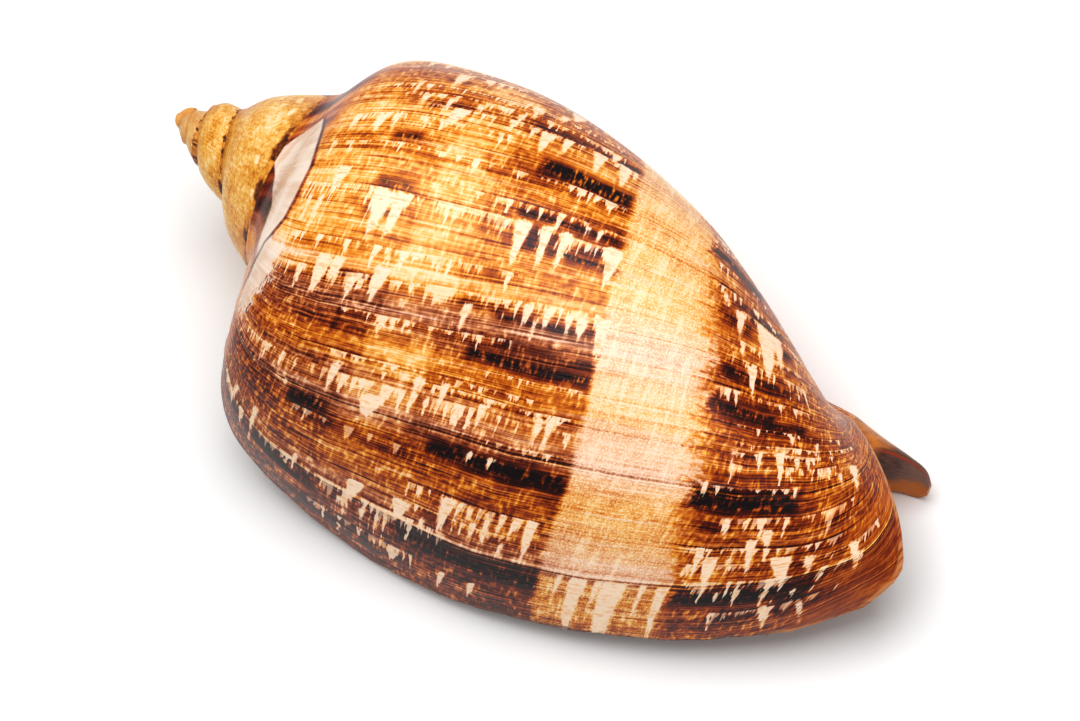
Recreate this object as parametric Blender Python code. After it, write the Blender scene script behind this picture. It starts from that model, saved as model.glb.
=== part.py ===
"""A large volute sea shell, lying on its opening with its spire towards -X."""

import math

import bmesh
import bpy
import numpy as np

# Lengths are in millimetres. A turn is one whole round of the coil, counted back
# from the lip of the opening towards the tip of the spire. A drop is measured
# down the coiling axis from the tip, a radius straight out from that axis.
MM = 0.001

# The seam where each whorl meets the one before it: (turn, distance from the tip)
# and (turn, degrees between the axis and the line from the tip to the seam).
SEAM_REACH = ((0.0, 54.4), (0.22, 51.6), (0.45, 49.9), (0.75, 38.7), (1.06, 33.4), (1.44, 21.0),
              (2.06, 15.6), (2.44, 11.2), (3.2, 6.8), (4.2, 3.4), (5.2, 1.9))
SEAM_SPREAD = ((0.0, 30.8), (0.22, 32.7), (0.45, 34.7), (0.75, 31.7), (1.06, 28.8), (1.44, 30.7),
               (2.06, 32.6), (2.44, 34.7), (3.2, 36.9), (4.2, 35.0), (5.2, 38.0))

# Where a further whorl would meet the last one, its radius and its drop.
ATTACH_RADIUS = ((0.0, 86.8), (0.25, 54.1), (0.5, 57.0), (0.75, 41.1))
ATTACH_DROP = ((0.0, 110.9), (0.25, 114.4), (0.5, 97.3), (0.75, 76.9))

# The front rim, from the lip's corner round to the notch beside the column.
RIM_RADIUS = ((0.08, 26.0), (0.16, 24.9), (0.25, 22.8), (0.35, 21.2), (0.44, 20.7), (0.5, 21.5),
              (0.55, 22.3), (0.585, 22.4))
RIM_DROP = ((0.08, 226.6), (0.16, 231.2), (0.2, 234.0), (0.25, 237.1), (0.3, 238.5), (0.35, 234.8),
            (0.44, 223.3), (0.5, 214.0), (0.55, 206.3), (0.585, 204.0))
NOTCH_TURN = 0.585

# The bulge of a whorl's side: (share of the way down, share of that stretch outwards)
# above that line, and (share down, bulge, pinch of the neck) below it, each with how
# full it is at each turn.
SHOULDER = ((0.073, 0.026), (0.322, 0.213), (0.597, 0.186))
SHOULDER_FULLNESS = ((0.0, 1.35), (0.25, 0.99), (0.5, 0.69), (0.8, 0.76), (1.2, 0.4), (2.5, 0.53),
                     (3.4, 0.4), (4.4, 0.0))
LOWER = ((0.22, 0.70, 0.0), (0.458, 1.0, 0.15), (0.677, 0.92, 0.7), (0.876, 0.5, 1.0))
LOWER_FULLNESS = ((0.0, 0.132), (0.25, 0.086), (0.5, 0.087), (0.75, -0.015), (1.0, -0.03), (1.4, -0.04),
                  (1.8, -0.045))
NECK = ((0.0, 0.0), (0.3, 0.005), (0.5, -0.045), (0.7, -0.04), (0.85, 0.0), (1.0, 0.0), (1.3, -0.015),
        (1.5, -0.05), (1.65, -0.045), (1.8, -0.01), (2.0, 0.0))

# How far the growth lines lag behind, in turns, down the side of a whorl; and the
# turns over which a whorl's side changes from free to joined at the next seam.
GROWTH_LAG = ((0.0, 0.0), (2.0, 0.03), (4.0, 0.078), (6.0, 0.107), (7.5, 0.127), (8.4, 0.148),
              (9.0, 0.153))
LAG_EVENS_OUT = (0.45, 0.95)
SEAM_JOINS_OVER = 0.25

# How far back the lip runs above the line of the seam, in turns at each row, and how
# that fades: with age, along the seam before and behind the lip, and away from the seam.
LIP_RECEDES = ((0.0, 0.06), (2.0, 0.09), (2.5, 0.055), (3.0, 0.033), (3.5, 0.01), (4.0, 0.0))
RECEDES_OVER = 0.25
SEAM_SHIFT_BEGINS = 0.8
SEAM_SHIFT_ROWS = 2.0

# The column and its tongue: each oval has a centre, an outer reach, an inner
# reach and half a width, in the direction of the tongue, at its own drop.
TONGUE_TURN = 0.63
TONGUE_TWIST = 0.035
TONGUE_AT = (0.0, 0.3, 0.6, 0.85, 1.0)
TONGUE_CENTRE = (9.5, 15.4, 18.4, 19.4, 19.8)
TONGUE_OUTER = (15.1, 8.0, 4.2, 2.8, 1.2)
TONGUE_INNER = (15.1, 5.4, 1.3, 0.2, 0.8)
TONGUE_HALF_WIDTH = (11.0, 10.4, 9.0, 6.2, 2.4)
TONGUE_DROP = (204.0, 212.5, 221.5, 226.8, 228.8)

# The wall, thinner at the lip and in the corner of the seam; the hollow's floor, which
# rises and narrows behind the notch; and the folds wound round the column.
WALL = 2.9
LIP_EDGE = 1.8
LIP_TAPER_TURNS = 0.12
CORNER_SHARE = 0.38
NOTCH_COLUMNS = 4
FLOOR_TURNS = 0.12
FLOOR_RISE = 10.0
FLOOR_NARROWS = 0.25
FOLDS = 4
FOLD_HEIGHT = 2.2
FOLDS_FROM = 6.6
FOLD_SPACING = 0.4
FOLDS_BEGIN = (0.9, 1.0)
FOLDS_END = (1.3, 1.5)

# How far the coil and the hollow behind the opening go back, in turns, and the round
# cap on the tip.
COIL_TURNS = 4.5
HOLLOW_TURNS = 0.8
TIP_DROP = 0.1
TIP_STEPS = 3

# The first whorls lean off the coiling axis: towards which turn, by how much at the
# tip, and from which turn of the coil on.
TIP_LEANS_TO = 0.082
TIP_LEAN = 1.9
TIP_LEANS_FROM = 2.6

# The side that faces down when the shell lies on its opening.
DOWN_TURN = 0.8843
DOWN_SLOPE = -8.46

# Fineness of the faceted surface.
COLUMNS = 44
SHOULDER_STEPS = 8
SIDE_STEPS = 5
BASE_STEPS = 3
TONGUE_STEPS = 5
SHARP_EDGE_DEG = 45

# Rows down a whorl: 0 is the upper seam, 4 the line of the next seam, 9 the rim. The
# wall in the opening starts just past the seam, and the floor of the hollow at the foot
# row, which climbs over some columns behind the notch.
SEAM_ROW = 4.0
WALL_ROW = 4.12
CORNER_ROW = 1.0
FOOT_ROW = 8.1
FOOT_CLIMB = 0.7
FOOT_COLUMNS = 10
RIM_ROW = 9.0

SHELL_COLOUR = (0.52, 0.20, 0.045, 1.0)
SHELL_ROUGHNESS = 0.28


def smooth(x):
    """Ease from 0 to 1."""
    x = np.clip(x, 0.0, 1.0)
    return x * x * (3.0 - 2.0 * x)


def through(knots, at):
    """Smooth curve through (place, value) pairs."""
    xs, ys = (np.array(part, float) for part in zip(*knots))
    at = np.asarray(at, float)
    slope = np.diff(ys) / np.diff(xs)
    gap = np.diff(xs)
    lean = np.empty_like(ys)
    lean[0], lean[-1] = slope[0], slope[-1]
    lean[1:-1] = (slope[:-1] * gap[1:] + slope[1:] * gap[:-1]) / (gap[:-1] + gap[1:])
    i = np.clip(np.searchsorted(xs, at) - 1, 0, len(xs) - 2)
    h = xs[i + 1] - xs[i]
    t = np.clip((at - xs[i]) / h, 0.0, 1.0)
    inside = (ys[i] * (2 * t**3 - 3 * t**2 + 1) + ys[i + 1] * (3 * t**2 - 2 * t**3)
              + h * lean[i] * (t**3 - 2 * t**2 + t) + h * lean[i + 1] * (t**3 - t**2))
    before = np.minimum(at - xs[0], 0.0) * lean[0]
    after = np.maximum(at - xs[-1], 0.0) * lean[-1]
    return inside + before + after


def seam(turn):
    """Radius and drop of the seam."""
    reach = np.exp(through([(place, math.log(far)) for place, far in SEAM_REACH], turn))
    spread = np.radians(through(SEAM_SPREAD, turn))
    return reach * np.sin(spread), reach * np.cos(spread)


def attach(turn):
    """Radius and drop of the line where the following whorl meets this one."""
    near, beside = seam(0.0), seam(0.1)
    values = []
    for part, knots in enumerate((ATTACH_RADIUS, ATTACH_DROP)):
        knots = knots + ((1.0, float(near[part])), (1.1, float(beside[part])))
        earlier = seam(np.maximum(turn - 1.0, 0.0))[part]
        values.append(np.where(turn >= 1.0, earlier, through(knots, np.minimum(turn, 1.0))))
    return values


def column_radius(turn):
    """Radius of the column's oval top, seen from the coiling axis."""
    angle = 2.0 * math.pi * (turn - TONGUE_TURN)
    centre, deep, wide = TONGUE_CENTRE[0], TONGUE_OUTER[0], TONGUE_HALF_WIDTH[0]
    a = (np.cos(angle) / deep) ** 2 + (np.sin(angle) / wide) ** 2
    b = -2.0 * centre * np.cos(angle) / deep**2
    c = (centre / deep) ** 2 - 1.0
    return (-b + np.sqrt(b * b - 4.0 * a * c)) / (2.0 * a)


def rim(turn):
    """Radius and drop of the front rim, then of the top of the column."""
    on_rim = turn < NOTCH_TURN
    early = np.minimum(turn, NOTCH_TURN)
    radius = np.where(on_rim, through(RIM_RADIUS, early), column_radius(turn))
    drop = np.where(on_rim, through(RIM_DROP, early), TONGUE_DROP[0])
    behind = smooth((turn - 1.0 - NOTCH_TURN) / FLOOR_TURNS)
    return radius * (1.0 - FLOOR_NARROWS * behind), drop - FLOOR_RISE * behind


def side_points(turn):
    """The points down a whorl's side that its outline is drawn through."""
    points = []
    top, line, foot = seam(turn), attach(turn), rim(turn)
    full = through(SHOULDER_FULLNESS, np.minimum(turn, SHOULDER_FULLNESS[-1][0]))
    low = through(LOWER_FULLNESS, np.minimum(turn, LOWER_FULLNESS[-1][0]))
    neck = through(NECK, np.minimum(turn, NECK[-1][0]))
    run = (line[0] - top[0], line[1] - top[1])
    points.append(top)
    for along, out in SHOULDER:
        out = out * full
        points.append((top[0] + along * run[0] + out * run[1], top[1] + along * run[1] - out * run[0]))
    run = (foot[0] - line[0], foot[1] - line[1])
    points.append(line)
    for along, bulge, pinch in LOWER:
        out = bulge * low + pinch * neck
        points.append((line[0] + along * run[0] + out * run[1], line[1] + along * run[1] - out * run[0]))
    points.append(foot)
    return points


def side(turn, row):
    """Radius and drop on a whorl's side, for arrays of turns and rows of one shape."""
    points = np.array([np.stack(np.broadcast_arrays(*p)) for p in side_points(turn)])
    first, last = 2 * points[0] - points[1], 2 * points[-1] - points[-2]
    points = np.concatenate([[first], points, [last]])
    start = np.clip(row.astype(int), 0, int(RIM_ROW) - 1)
    t = row - start
    a, b, c, d = (np.take_along_axis(points, (start + k)[None, None], 0)[0] for k in range(4))
    apart = smooth((turn - 1.0) / SEAM_JOINS_OVER + 1.0)
    d = d + (2 * c - b - d) * apart * (start == int(SEAM_ROW) - 1)
    a = a + (2 * b - c - a) * apart * (start == int(SEAM_ROW))
    return 0.5 * (2 * b + (c - a) * t + (2 * a - 5 * b + 4 * c - d) * t**2 + (3 * b - a - 3 * c + d) * t**3)


def fold(turn, row):
    """Height of the folds wound round the column, which fade out beyond the opening."""
    span = FOLDS * FOLD_SPACING
    place = np.clip((row - FOLDS_FROM) / span, 0.0, 1.0)
    wave = 0.5 - 0.5 * np.cos(2.0 * math.pi * FOLDS * place)
    begun = smooth((turn - FOLDS_BEGIN[0]) / (FOLDS_BEGIN[1] - FOLDS_BEGIN[0]))
    left = smooth((FOLDS_END[1] - turn) / (FOLDS_END[1] - FOLDS_END[0]))
    return FOLD_HEIGHT * wave * begun * left


def surface(turn, row):
    """Points on the coiled outer surface."""
    radius, drop = side(turn, row)
    radius = radius + fold(turn, row)
    angle = 2.0 * math.pi * turn
    whorl = turn + np.minimum(row, SEAM_ROW) / SEAM_ROW - 1.0
    lean = TIP_LEAN * smooth((whorl - TIP_LEANS_FROM) / (COIL_TURNS - 1.0 - TIP_LEANS_FROM))
    x = radius * np.cos(angle) + lean * math.cos(2.0 * math.pi * TIP_LEANS_TO)
    y = radius * np.sin(angle) + lean * math.sin(2.0 * math.pi * TIP_LEANS_TO)
    return np.stack([x, y, -drop], -1)


def old_lag(row):
    """Lag of the growth lines on a surface that the next whorl covers."""
    return through(GROWTH_LAG, RIM_ROW) * smooth((row - WALL_ROW) / (RIM_ROW - WALL_ROW))


def lag(age, row):
    """Lag of the growth lines, which evens out with age above the line of the seam."""
    begin, end = LAG_EVENS_OUT
    share = smooth((age - begin) / (end - begin))
    return through(GROWTH_LAG, row) * (1.0 - share) + old_lag(row) * share


def recede(age, row):
    """How far back the growth lines run near the lip, above the seam and along it."""
    places, values = zip(*LIP_RECEDES)
    at_lip = np.interp(row, places, values) * (1.0 - smooth(age / RECEDES_OVER))
    begun = smooth((age - SEAM_SHIFT_BEGINS) / (1.0 - SEAM_SHIFT_BEGINS))
    along_seam = values[0] * begun * (1.0 - smooth((age - 1.0) / RECEDES_OVER))
    return at_lip + along_seam * (1.0 - smooth(np.abs(row - SEAM_ROW) / SEAM_SHIFT_ROWS))


def row_list():
    """Rows from the upper seam to the rim, closer together on the folds."""
    upper = np.linspace(0.0, SEAM_ROW, SHOULDER_STEPS + 1)
    middle = np.linspace(WALL_ROW, FOLDS_FROM, SIDE_STEPS + 1)
    folds_to = FOLDS_FROM + FOLDS * FOLD_SPACING
    folds = np.linspace(FOLDS_FROM, folds_to, 2 * FOLDS + 1)[1:]
    base = np.linspace(folds_to, RIM_ROW, BASE_STEPS + 1)[1:]
    return np.concatenate([upper, middle, folds, base])


def unit(vectors):
    """Vectors made one unit long."""
    return vectors / np.linalg.norm(vectors, axis=-1, keepdims=True)


def outward(grid):
    """Normals of a grid of points, pointing away from the coiling axis."""
    normals = unit(np.cross(np.gradient(grid, axis=0), np.gradient(grid, axis=1)))
    away = (normals[..., 0] * grid[..., 0] + normals[..., 1] * grid[..., 1]).sum()
    return normals * (1.0 if away > 0 else -1.0)


def tongue_ring(turn, at):
    """One oval of the column and its tongue, for the turns of its points."""
    angle = 2.0 * math.pi * (turn - TONGUE_TURN)
    radius = column_radius(turn)
    deep, wide, centre = TONGUE_OUTER[0], TONGUE_HALF_WIDTH[0], TONGUE_CENTRE[0]
    round_oval = np.arctan2(radius * np.sin(angle) / wide, (radius * np.cos(angle) - centre) / deep)
    middle, outer, inner, half, drop = (
        float(through(tuple(zip(TONGUE_AT, values)), at))
        for values in (TONGUE_CENTRE, TONGUE_OUTER, TONGUE_INNER, TONGUE_HALF_WIDTH, TONGUE_DROP))
    reach = np.where(np.cos(round_oval) > 0, outer, inner)
    out = middle + reach * np.cos(round_oval)
    across = half * np.sin(round_oval)
    heading = 2.0 * math.pi * (TONGUE_TURN + TONGUE_TWIST * at)
    x = out * math.cos(heading) - across * math.sin(heading)
    y = out * math.sin(heading) + across * math.cos(heading)
    return np.stack([x, y, np.full_like(x, -drop)], -1)


class Skin:
    """Vertices and faces of one closed surface."""

    def __init__(self):
        self.points = []
        self.faces = []

    def add(self, points):
        """Add an array of points and return their numbers in the same shape."""
        flat = points.reshape(-1, 3)
        start = len(self.points)
        self.points.extend(map(tuple, flat))
        return np.arange(start, start + len(flat)).reshape(points.shape[:-1])

    def face(self, corners):
        """Add one face, leaving out corners that fall together."""
        kept = []
        for corner in corners:
            if int(corner) not in kept:
                kept.append(int(corner))
        if len(kept) > 2:
            self.faces.append(kept)

    def sheet(self, numbers):
        """Faces over a grid of vertex numbers."""
        for i in range(numbers.shape[0] - 1):
            for j in range(numbers.shape[1] - 1):
                self.face((numbers[i, j], numbers[i + 1, j], numbers[i + 1, j + 1], numbers[i, j + 1]))

    def zip_up(self, left, right):
        """Triangles between two lines of vertices of different lengths."""
        i = j = 0
        a, b = len(left) - 1, len(right) - 1
        while i < a or j < b:
            if j == b or (i < a and (i + 1) * b <= (j + 1) * a):
                self.face((left[i], left[i + 1], right[j]))
                i += 1
            else:
                self.face((left[i], right[j], right[j + 1]))
                j += 1


def outer_wall(skin, rows):
    """The coil's outer side: whole columns on the last whorl, bands further up the spire."""
    total = round(COIL_TURNS * COLUMNS)
    age = np.arange(total + 1)[:, None] / COLUMNS
    row = np.broadcast_to(rows, (total + 1, len(rows)))
    points = surface(age + lag(age, row) * (age <= 1.0) + recede(age, row), row)
    numbers = np.full(points.shape[:2], -1)
    numbers[:COLUMNS] = skin.add(points[:COLUMNS])
    numbers[COLUMNS:, :SHOULDER_STEPS] = skin.add(points[COLUMNS:, :SHOULDER_STEPS])
    numbers[COLUMNS, SHOULDER_STEPS + 1:] = skin.add(points[COLUMNS, SHOULDER_STEPS + 1:])
    for j in range(COLUMNS, total + 1):
        numbers[j, SHOULDER_STEPS] = numbers[j - COLUMNS, 0]
    skin.sheet(numbers[:COLUMNS + 1])
    skin.sheet(numbers[COLUMNS:, :SHOULDER_STEPS + 1])
    edge = list(numbers[total - COLUMNS:, 0]) + list(numbers[total, 1:SHOULDER_STEPS + 1])
    cap(skin, edge)
    return points, numbers


def cap(skin, edge):
    """The round cap that closes the coil at its tip, inside a closed line of vertices."""
    ring = np.array([skin.points[number] for number in edge])
    middle = ring[:-1].mean(axis=0)
    rise = np.array([0.0, 0.0, -TIP_DROP - middle[2]])
    rings = [np.array(edge)]
    for step in range(1, TIP_STEPS):
        angle = 0.5 * math.pi * step / TIP_STEPS
        numbers = skin.add(middle + (ring[:-1] - middle) * math.cos(angle) + rise * math.sin(angle))
        rings.append(np.append(numbers, numbers[0]))
    skin.sheet(np.stack(rings))
    tip = skin.add((middle + rise)[None])[0]
    for a, b in zip(rings[-1][:-1], rings[-1][1:]):
        skin.face((tip, a, b))


def covered_wall(skin, rows, outer, deep, notch):
    """The side of the earlier whorl that shows in the opening."""
    age = np.arange(deep + 1)[:, None] / COLUMNS
    row = np.broadcast_to(rows, (deep + 1, len(rows)))
    points = surface(1.0 + age + old_lag(row) + recede(1.0 + age, row), row)
    numbers = np.full(points.shape[:2], -1)
    first = SHOULDER_STEPS + 1
    numbers[1:, first:] = skin.add(points[1:, first:])
    numbers[0, first:] = outer[COLUMNS, first:]
    numbers[notch, -1] = outer[notch, -1]
    skin.sheet(numbers[:, first:])
    return numbers


def inner_wall(skin, rows, points, outer, covered, deep, notch):
    """The inside of the wall, with the lip and the rim that close its edges."""
    age = np.arange(deep + 1)[:, None] / COLUMNS
    grid = points[:deep + 1]
    thick = LIP_EDGE + (WALL - LIP_EDGE) * smooth(age / LIP_TAPER_TURNS)
    thick = thick * (CORNER_SHARE + (1.0 - CORNER_SHARE) * smooth((rows - CORNER_ROW) / CORNER_ROW))
    beside_notch = smooth(1.0 - (notch - np.arange(deep + 1)[:, None]) / NOTCH_COLUMNS)
    thick = thick * (1.0 - beside_notch * smooth(rows - FOOT_ROW))
    inside = grid - outward(grid) * thick[..., None]
    corner = np.array([skin.points[n] for n in covered[:, SHOULDER_STEPS + 1]])[:, None]
    full = inside[:, np.searchsorted(rows, CORNER_ROW)][:, None]
    close = corner + (full - corner) * (rows / CORNER_ROW)[None, :, None]
    inside = np.where(rows[None, :, None] < CORNER_ROW, close, inside)
    for i in range(notch, deep + 1):
        start = np.searchsorted(rows, FOOT_ROW - FOOT_CLIMB * smooth((i - notch) / FOOT_COLUMNS))
        share = ((rows[start:] - rows[start]) / (RIM_ROW - rows[start]))[:, None]
        floor = np.array(skin.points[covered[i, -1]])
        inside[i, start:] = inside[i, start] + (floor - inside[i, start]) * share
    numbers = skin.add(inside)
    numbers[:, 0] = covered[:, SHOULDER_STEPS + 1]
    numbers[notch:, -1] = covered[notch:, -1]
    skin.sheet(numbers)
    round_out = 0.5 * LIP_EDGE
    lip = 0.5 * (grid[0] + inside[0]) + unit(grid[0] - grid[1]) * round_out
    lip_numbers = skin.add(lip)
    lip_numbers[0] = numbers[0, 0]
    skin.sheet(np.stack([outer[0], lip_numbers, numbers[0]]))
    part = slice(0, notch + 1)
    edge = 0.5 * (grid[part, -1] + inside[part, -1]) + unit(grid[part, -1] - grid[part, -2]) * round_out
    edge_numbers = skin.add(edge)
    edge_numbers[0] = lip_numbers[-1]
    edge_numbers[-1] = outer[notch, -1]
    skin.sheet(np.stack([outer[part, -1], edge_numbers, numbers[part, -1]]))
    return numbers


def tongue(skin, outer, covered, notch):
    """The column's end below the notch."""
    last_lag = float(through(GROWTH_LAG, RIM_ROW))
    around = np.concatenate([outer[notch:COLUMNS, -1], covered[:notch, -1]])
    turn = np.arange(notch, notch + COLUMNS) / COLUMNS + last_lag
    rings = [np.append(around, around[0])]
    for step in range(1, TONGUE_STEPS + 1):
        numbers = skin.add(tongue_ring(turn, step / TONGUE_STEPS))
        rings.append(np.append(numbers, numbers[0]))
    skin.sheet(np.stack(rings))
    end = np.array([skin.points[n] for n in rings[-1][:-1]]).mean(axis=0)
    middle = skin.add(end[None])[0]
    for a, b in zip(rings[-1][:-1], rings[-1][1:]):
        skin.face((middle, a, b))


def lie_down(points):
    """Turn the coil so that it lies on its opening, standing on z = 0 about the origin."""
    turn = 2.0 * math.pi * DOWN_TURN
    slope = math.radians(DOWN_SLOPE)
    down = np.array([math.cos(turn) * math.cos(slope), math.sin(turn) * math.cos(slope), math.sin(slope)])
    up = -down
    front = np.array([0.0, 0.0, -1.0])
    along = unit(front - front.dot(up) * up)
    across = np.cross(up, along)
    points = points @ np.stack([along, across, up]).T
    low, high = points.min(axis=0), points.max(axis=0)
    return points - np.array([(low[0] + high[0]) / 2, (low[1] + high[1]) / 2, low[2]])


def shell_material():
    """Glossy orange-brown shell."""
    material = bpy.data.materials.new("glossy_shell")
    material.use_nodes = True
    shader = material.node_tree.nodes["Principled BSDF"]
    shader.inputs["Base Color"].default_value = SHELL_COLOUR
    shader.inputs["Roughness"].default_value = SHELL_ROUGHNESS
    shader.inputs["Metallic"].default_value = 0.0
    return material


def make_shell():
    """The whole shell as one closed surface."""
    skin = Skin()
    rows = row_list()
    deep = round(HOLLOW_TURNS * COLUMNS)
    notch = round((NOTCH_TURN - float(through(GROWTH_LAG, RIM_ROW))) * COLUMNS)
    points, outer = outer_wall(skin, rows)
    covered = covered_wall(skin, rows, outer, deep, notch)
    inner = inner_wall(skin, rows, points, outer, covered, deep, notch)
    skin.zip_up(inner[deep], covered[deep, SHOULDER_STEPS + 1:])
    tongue(skin, outer, covered, notch)

    used = sorted({corner for face in skin.faces for corner in face})
    place = {number: k for k, number in enumerate(used)}
    vertices = lie_down(np.array([skin.points[number] for number in used])) * MM
    mesh = bpy.data.meshes.new("shell")
    mesh.from_pydata(vertices.tolist(), [], [[place[c] for c in face] for face in skin.faces])
    mesh.validate()
    mesh.materials.append(shell_material())
    shell = bpy.data.objects.new("shell", mesh)
    bpy.context.scene.collection.objects.link(shell)
    return shell


def face_out(shell):
    """Turn every face outwards and shade the round surface smooth."""
    work = bmesh.new()
    work.from_mesh(shell.data)
    bmesh.ops.recalc_face_normals(work, faces=work.faces)
    bmesh.ops.triangulate(work, faces=work.faces)
    if work.calc_volume(signed=True) < 0:
        bmesh.ops.reverse_faces(work, faces=work.faces)
    work.to_mesh(shell.data)
    work.free()
    shell.data.shade_smooth()
    shell.data.set_sharp_from_angle(angle=math.radians(SHARP_EDGE_DEG))


for old in list(bpy.data.objects):
    bpy.data.objects.remove(old, do_unlink=True)

face_out(make_shell())
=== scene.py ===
"""A large volute sea shell: its glossy patterned surface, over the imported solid."""

import math

import bpy
import numpy as np
from mathutils import Matrix, Vector


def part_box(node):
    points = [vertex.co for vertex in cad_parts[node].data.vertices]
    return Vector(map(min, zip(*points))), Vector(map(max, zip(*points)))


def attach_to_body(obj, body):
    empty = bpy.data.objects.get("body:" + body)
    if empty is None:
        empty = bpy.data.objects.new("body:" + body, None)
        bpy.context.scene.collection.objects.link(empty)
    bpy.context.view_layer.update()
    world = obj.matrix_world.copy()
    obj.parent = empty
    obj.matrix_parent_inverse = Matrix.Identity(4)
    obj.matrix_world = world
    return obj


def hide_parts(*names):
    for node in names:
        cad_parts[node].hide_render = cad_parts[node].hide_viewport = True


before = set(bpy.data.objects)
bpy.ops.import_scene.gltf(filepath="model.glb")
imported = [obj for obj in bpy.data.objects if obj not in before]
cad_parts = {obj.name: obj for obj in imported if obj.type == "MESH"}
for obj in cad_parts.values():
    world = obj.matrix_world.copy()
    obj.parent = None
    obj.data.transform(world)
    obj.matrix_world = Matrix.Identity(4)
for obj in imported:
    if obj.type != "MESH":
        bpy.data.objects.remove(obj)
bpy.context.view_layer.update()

# Lengths are in millimetres. A turn is one whole round of the coil, counted back from
# the lip. A row is a place down a whorl's side: 0 the seam, 4 the next seam, 9 the rim.
# A drop is measured down the coiling axis from the tip, a radius straight out from it.
MM = 0.001

# The seam where each whorl meets the one before it: (turn, distance from the tip)
# and (turn, degrees between the axis and the line from the tip to the seam).
SEAM_REACH = ((0.0, 54.4), (0.22, 51.6), (0.45, 49.9), (0.75, 38.7), (1.06, 33.4), (1.44, 21.0),
              (2.06, 15.7), (2.44, 11.8), (3.2, 7.1), (4.2, 3.6), (5.2, 2.0))
SEAM_SPREAD = ((0.0, 30.8), (0.22, 32.7), (0.45, 34.7), (0.75, 31.7), (1.06, 28.8), (1.44, 30.7),
               (2.06, 33.5), (2.44, 38.0), (3.2, 40.5), (4.2, 42.0), (5.2, 46.0))

# Where a further whorl would meet the last one, its radius and its drop at each turn.
ATTACH_RADIUS = ((0.0, 86.8), (0.25, 54.1), (0.5, 57.0), (0.75, 41.1))
ATTACH_DROP = ((0.0, 110.9), (0.25, 114.4), (0.5, 97.3), (0.75, 76.9))

# The front rim, from the lip's corner round to the notch beside the column.
RIM_RADIUS = ((0.08, 26.0), (0.16, 24.9), (0.25, 22.8), (0.35, 21.2), (0.44, 20.7), (0.5, 21.5),
              (0.55, 22.3), (0.585, 22.4))
RIM_DROP = ((0.08, 226.6), (0.16, 231.2), (0.2, 234.0), (0.25, 237.1), (0.3, 238.5), (0.35, 234.8),
            (0.44, 223.3), (0.5, 214.0), (0.55, 206.3), (0.585, 204.0))
NOTCH_TURN = 0.585

# The bulge of a whorl's side: (share of the way down, share of that stretch outwards)
# above that line, and (share down, bulge, pinch of the neck) below it, each with how
# full it is at each turn.
SHOULDER = ((0.073, 0.026), (0.322, 0.213), (0.597, 0.186))
SHOULDER_FULLNESS = ((0.0, 1.35), (0.25, 0.99), (0.5, 0.69), (0.8, 0.76), (1.2, 0.4), (2.4, 0.5),
                     (2.9, 0.36), (3.5, 0.08), (4.4, 0.0))
LOWER = ((0.22, 0.70, 0.0), (0.458, 1.0, 0.15), (0.677, 0.92, 0.7), (0.876, 0.5, 1.0))
LOWER_FULLNESS = ((0.0, 0.132), (0.25, 0.086), (0.5, 0.087), (0.75, -0.015), (1.0, -0.03), (1.4, -0.04),
                  (1.8, -0.045))
NECK = ((0.0, 0.0), (0.3, 0.005), (0.5, -0.045), (0.7, -0.04), (0.85, 0.0), (1.0, 0.0), (1.3, -0.015),
        (1.5, -0.05), (1.65, -0.045), (1.8, -0.01), (2.0, 0.0))

# How far the growth lines lag behind, in turns, down the side of a whorl, and the ages
# between which this evens out. Then the turns over which a whorl's side changes from
# free to joined at the next seam.
GROWTH_LAG = ((0.0, 0.0), (2.0, 0.03), (4.0, 0.078), (6.0, 0.107), (7.5, 0.127), (8.4, 0.148),
              (9.0, 0.153))
LAG_EVENS_OUT = (0.45, 0.95)
SEAM_JOINS_OVER = 0.25

# The column and its tongue: the turn that it heads for and how far it twists along its
# length. Then, at places along it from 0 to 1, the centre of its oval, the outer and the
# inner reach, half the width and the drop.
TONGUE_TURN = 0.63
TONGUE_TWIST = 0.035
TONGUE_AT = (0.0, 0.3, 0.6, 0.85, 1.0)
TONGUE_CENTRE = (9.5, 15.4, 18.4, 19.4, 19.8)
TONGUE_OUTER = (15.1, 8.0, 4.2, 2.8, 1.2)
TONGUE_INNER = (15.1, 5.4, 1.3, 0.2, 0.8)
TONGUE_HALF_WIDTH = (11.0, 10.4, 9.0, 6.2, 2.4)
TONGUE_DROP = (204.0, 212.5, 221.5, 226.8, 228.8)

# The wall, thinner at the lip and in the corner of the seam; the hollow's floor, which
# rises and narrows behind the notch; and the folds wound round the column. The last two
# pairs are the turns where the folds are gone and where they are whole.
WALL = 2.9
LIP_EDGE = 1.8
LIP_TAPER_TURNS = 0.12
CORNER_SHARE = 0.38
FLOOR_TURNS = 0.12
FLOOR_RISE = 10.0
FLOOR_NARROWS = 0.25
FOLDS = 4
FOLD_HEIGHT = 2.2
FOLDS_FROM = 6.6
FOLD_SPACING = 0.4
FOLDS_BEGIN = (0.9, 1.0)
FOLDS_END = (1.5, 1.3)

# How far the coil and the hollow behind the opening go back, in turns, and the drop of
# the round cap on the tip.
COIL_TURNS = 4.5
HOLLOW_TURNS = 0.8
TIP_DROP = 0.1

# The first whorls lean off the coiling axis: towards which turn, by how much at the
# tip, and from which turn of the coil on.
TIP_LEANS_TO = 0.082
TIP_LEAN = 1.9
TIP_LEANS_FROM = 2.1

# The side that faces down when the shell lies on its opening: its turn, and its slope
# in degrees.
DOWN_TURN = 0.8843
DOWN_SLOPE = -8.46

# Rows: the next seam; the row of the whorl before that the inside closes on, from its
# own corner row up; the row where the inside's foot leaves the side past the notch, with
# the rows that it climbs by and the turns it takes; and the rim.
SEAM_ROW = 4.0
WALL_ROW = 4.12
CORNER_ROW = 1.0
FOOT_ROW = 8.1
FOOT_CLIMB = 0.7
FOOT_TURNS = 0.23
RIM_ROW = 9.0

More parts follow.
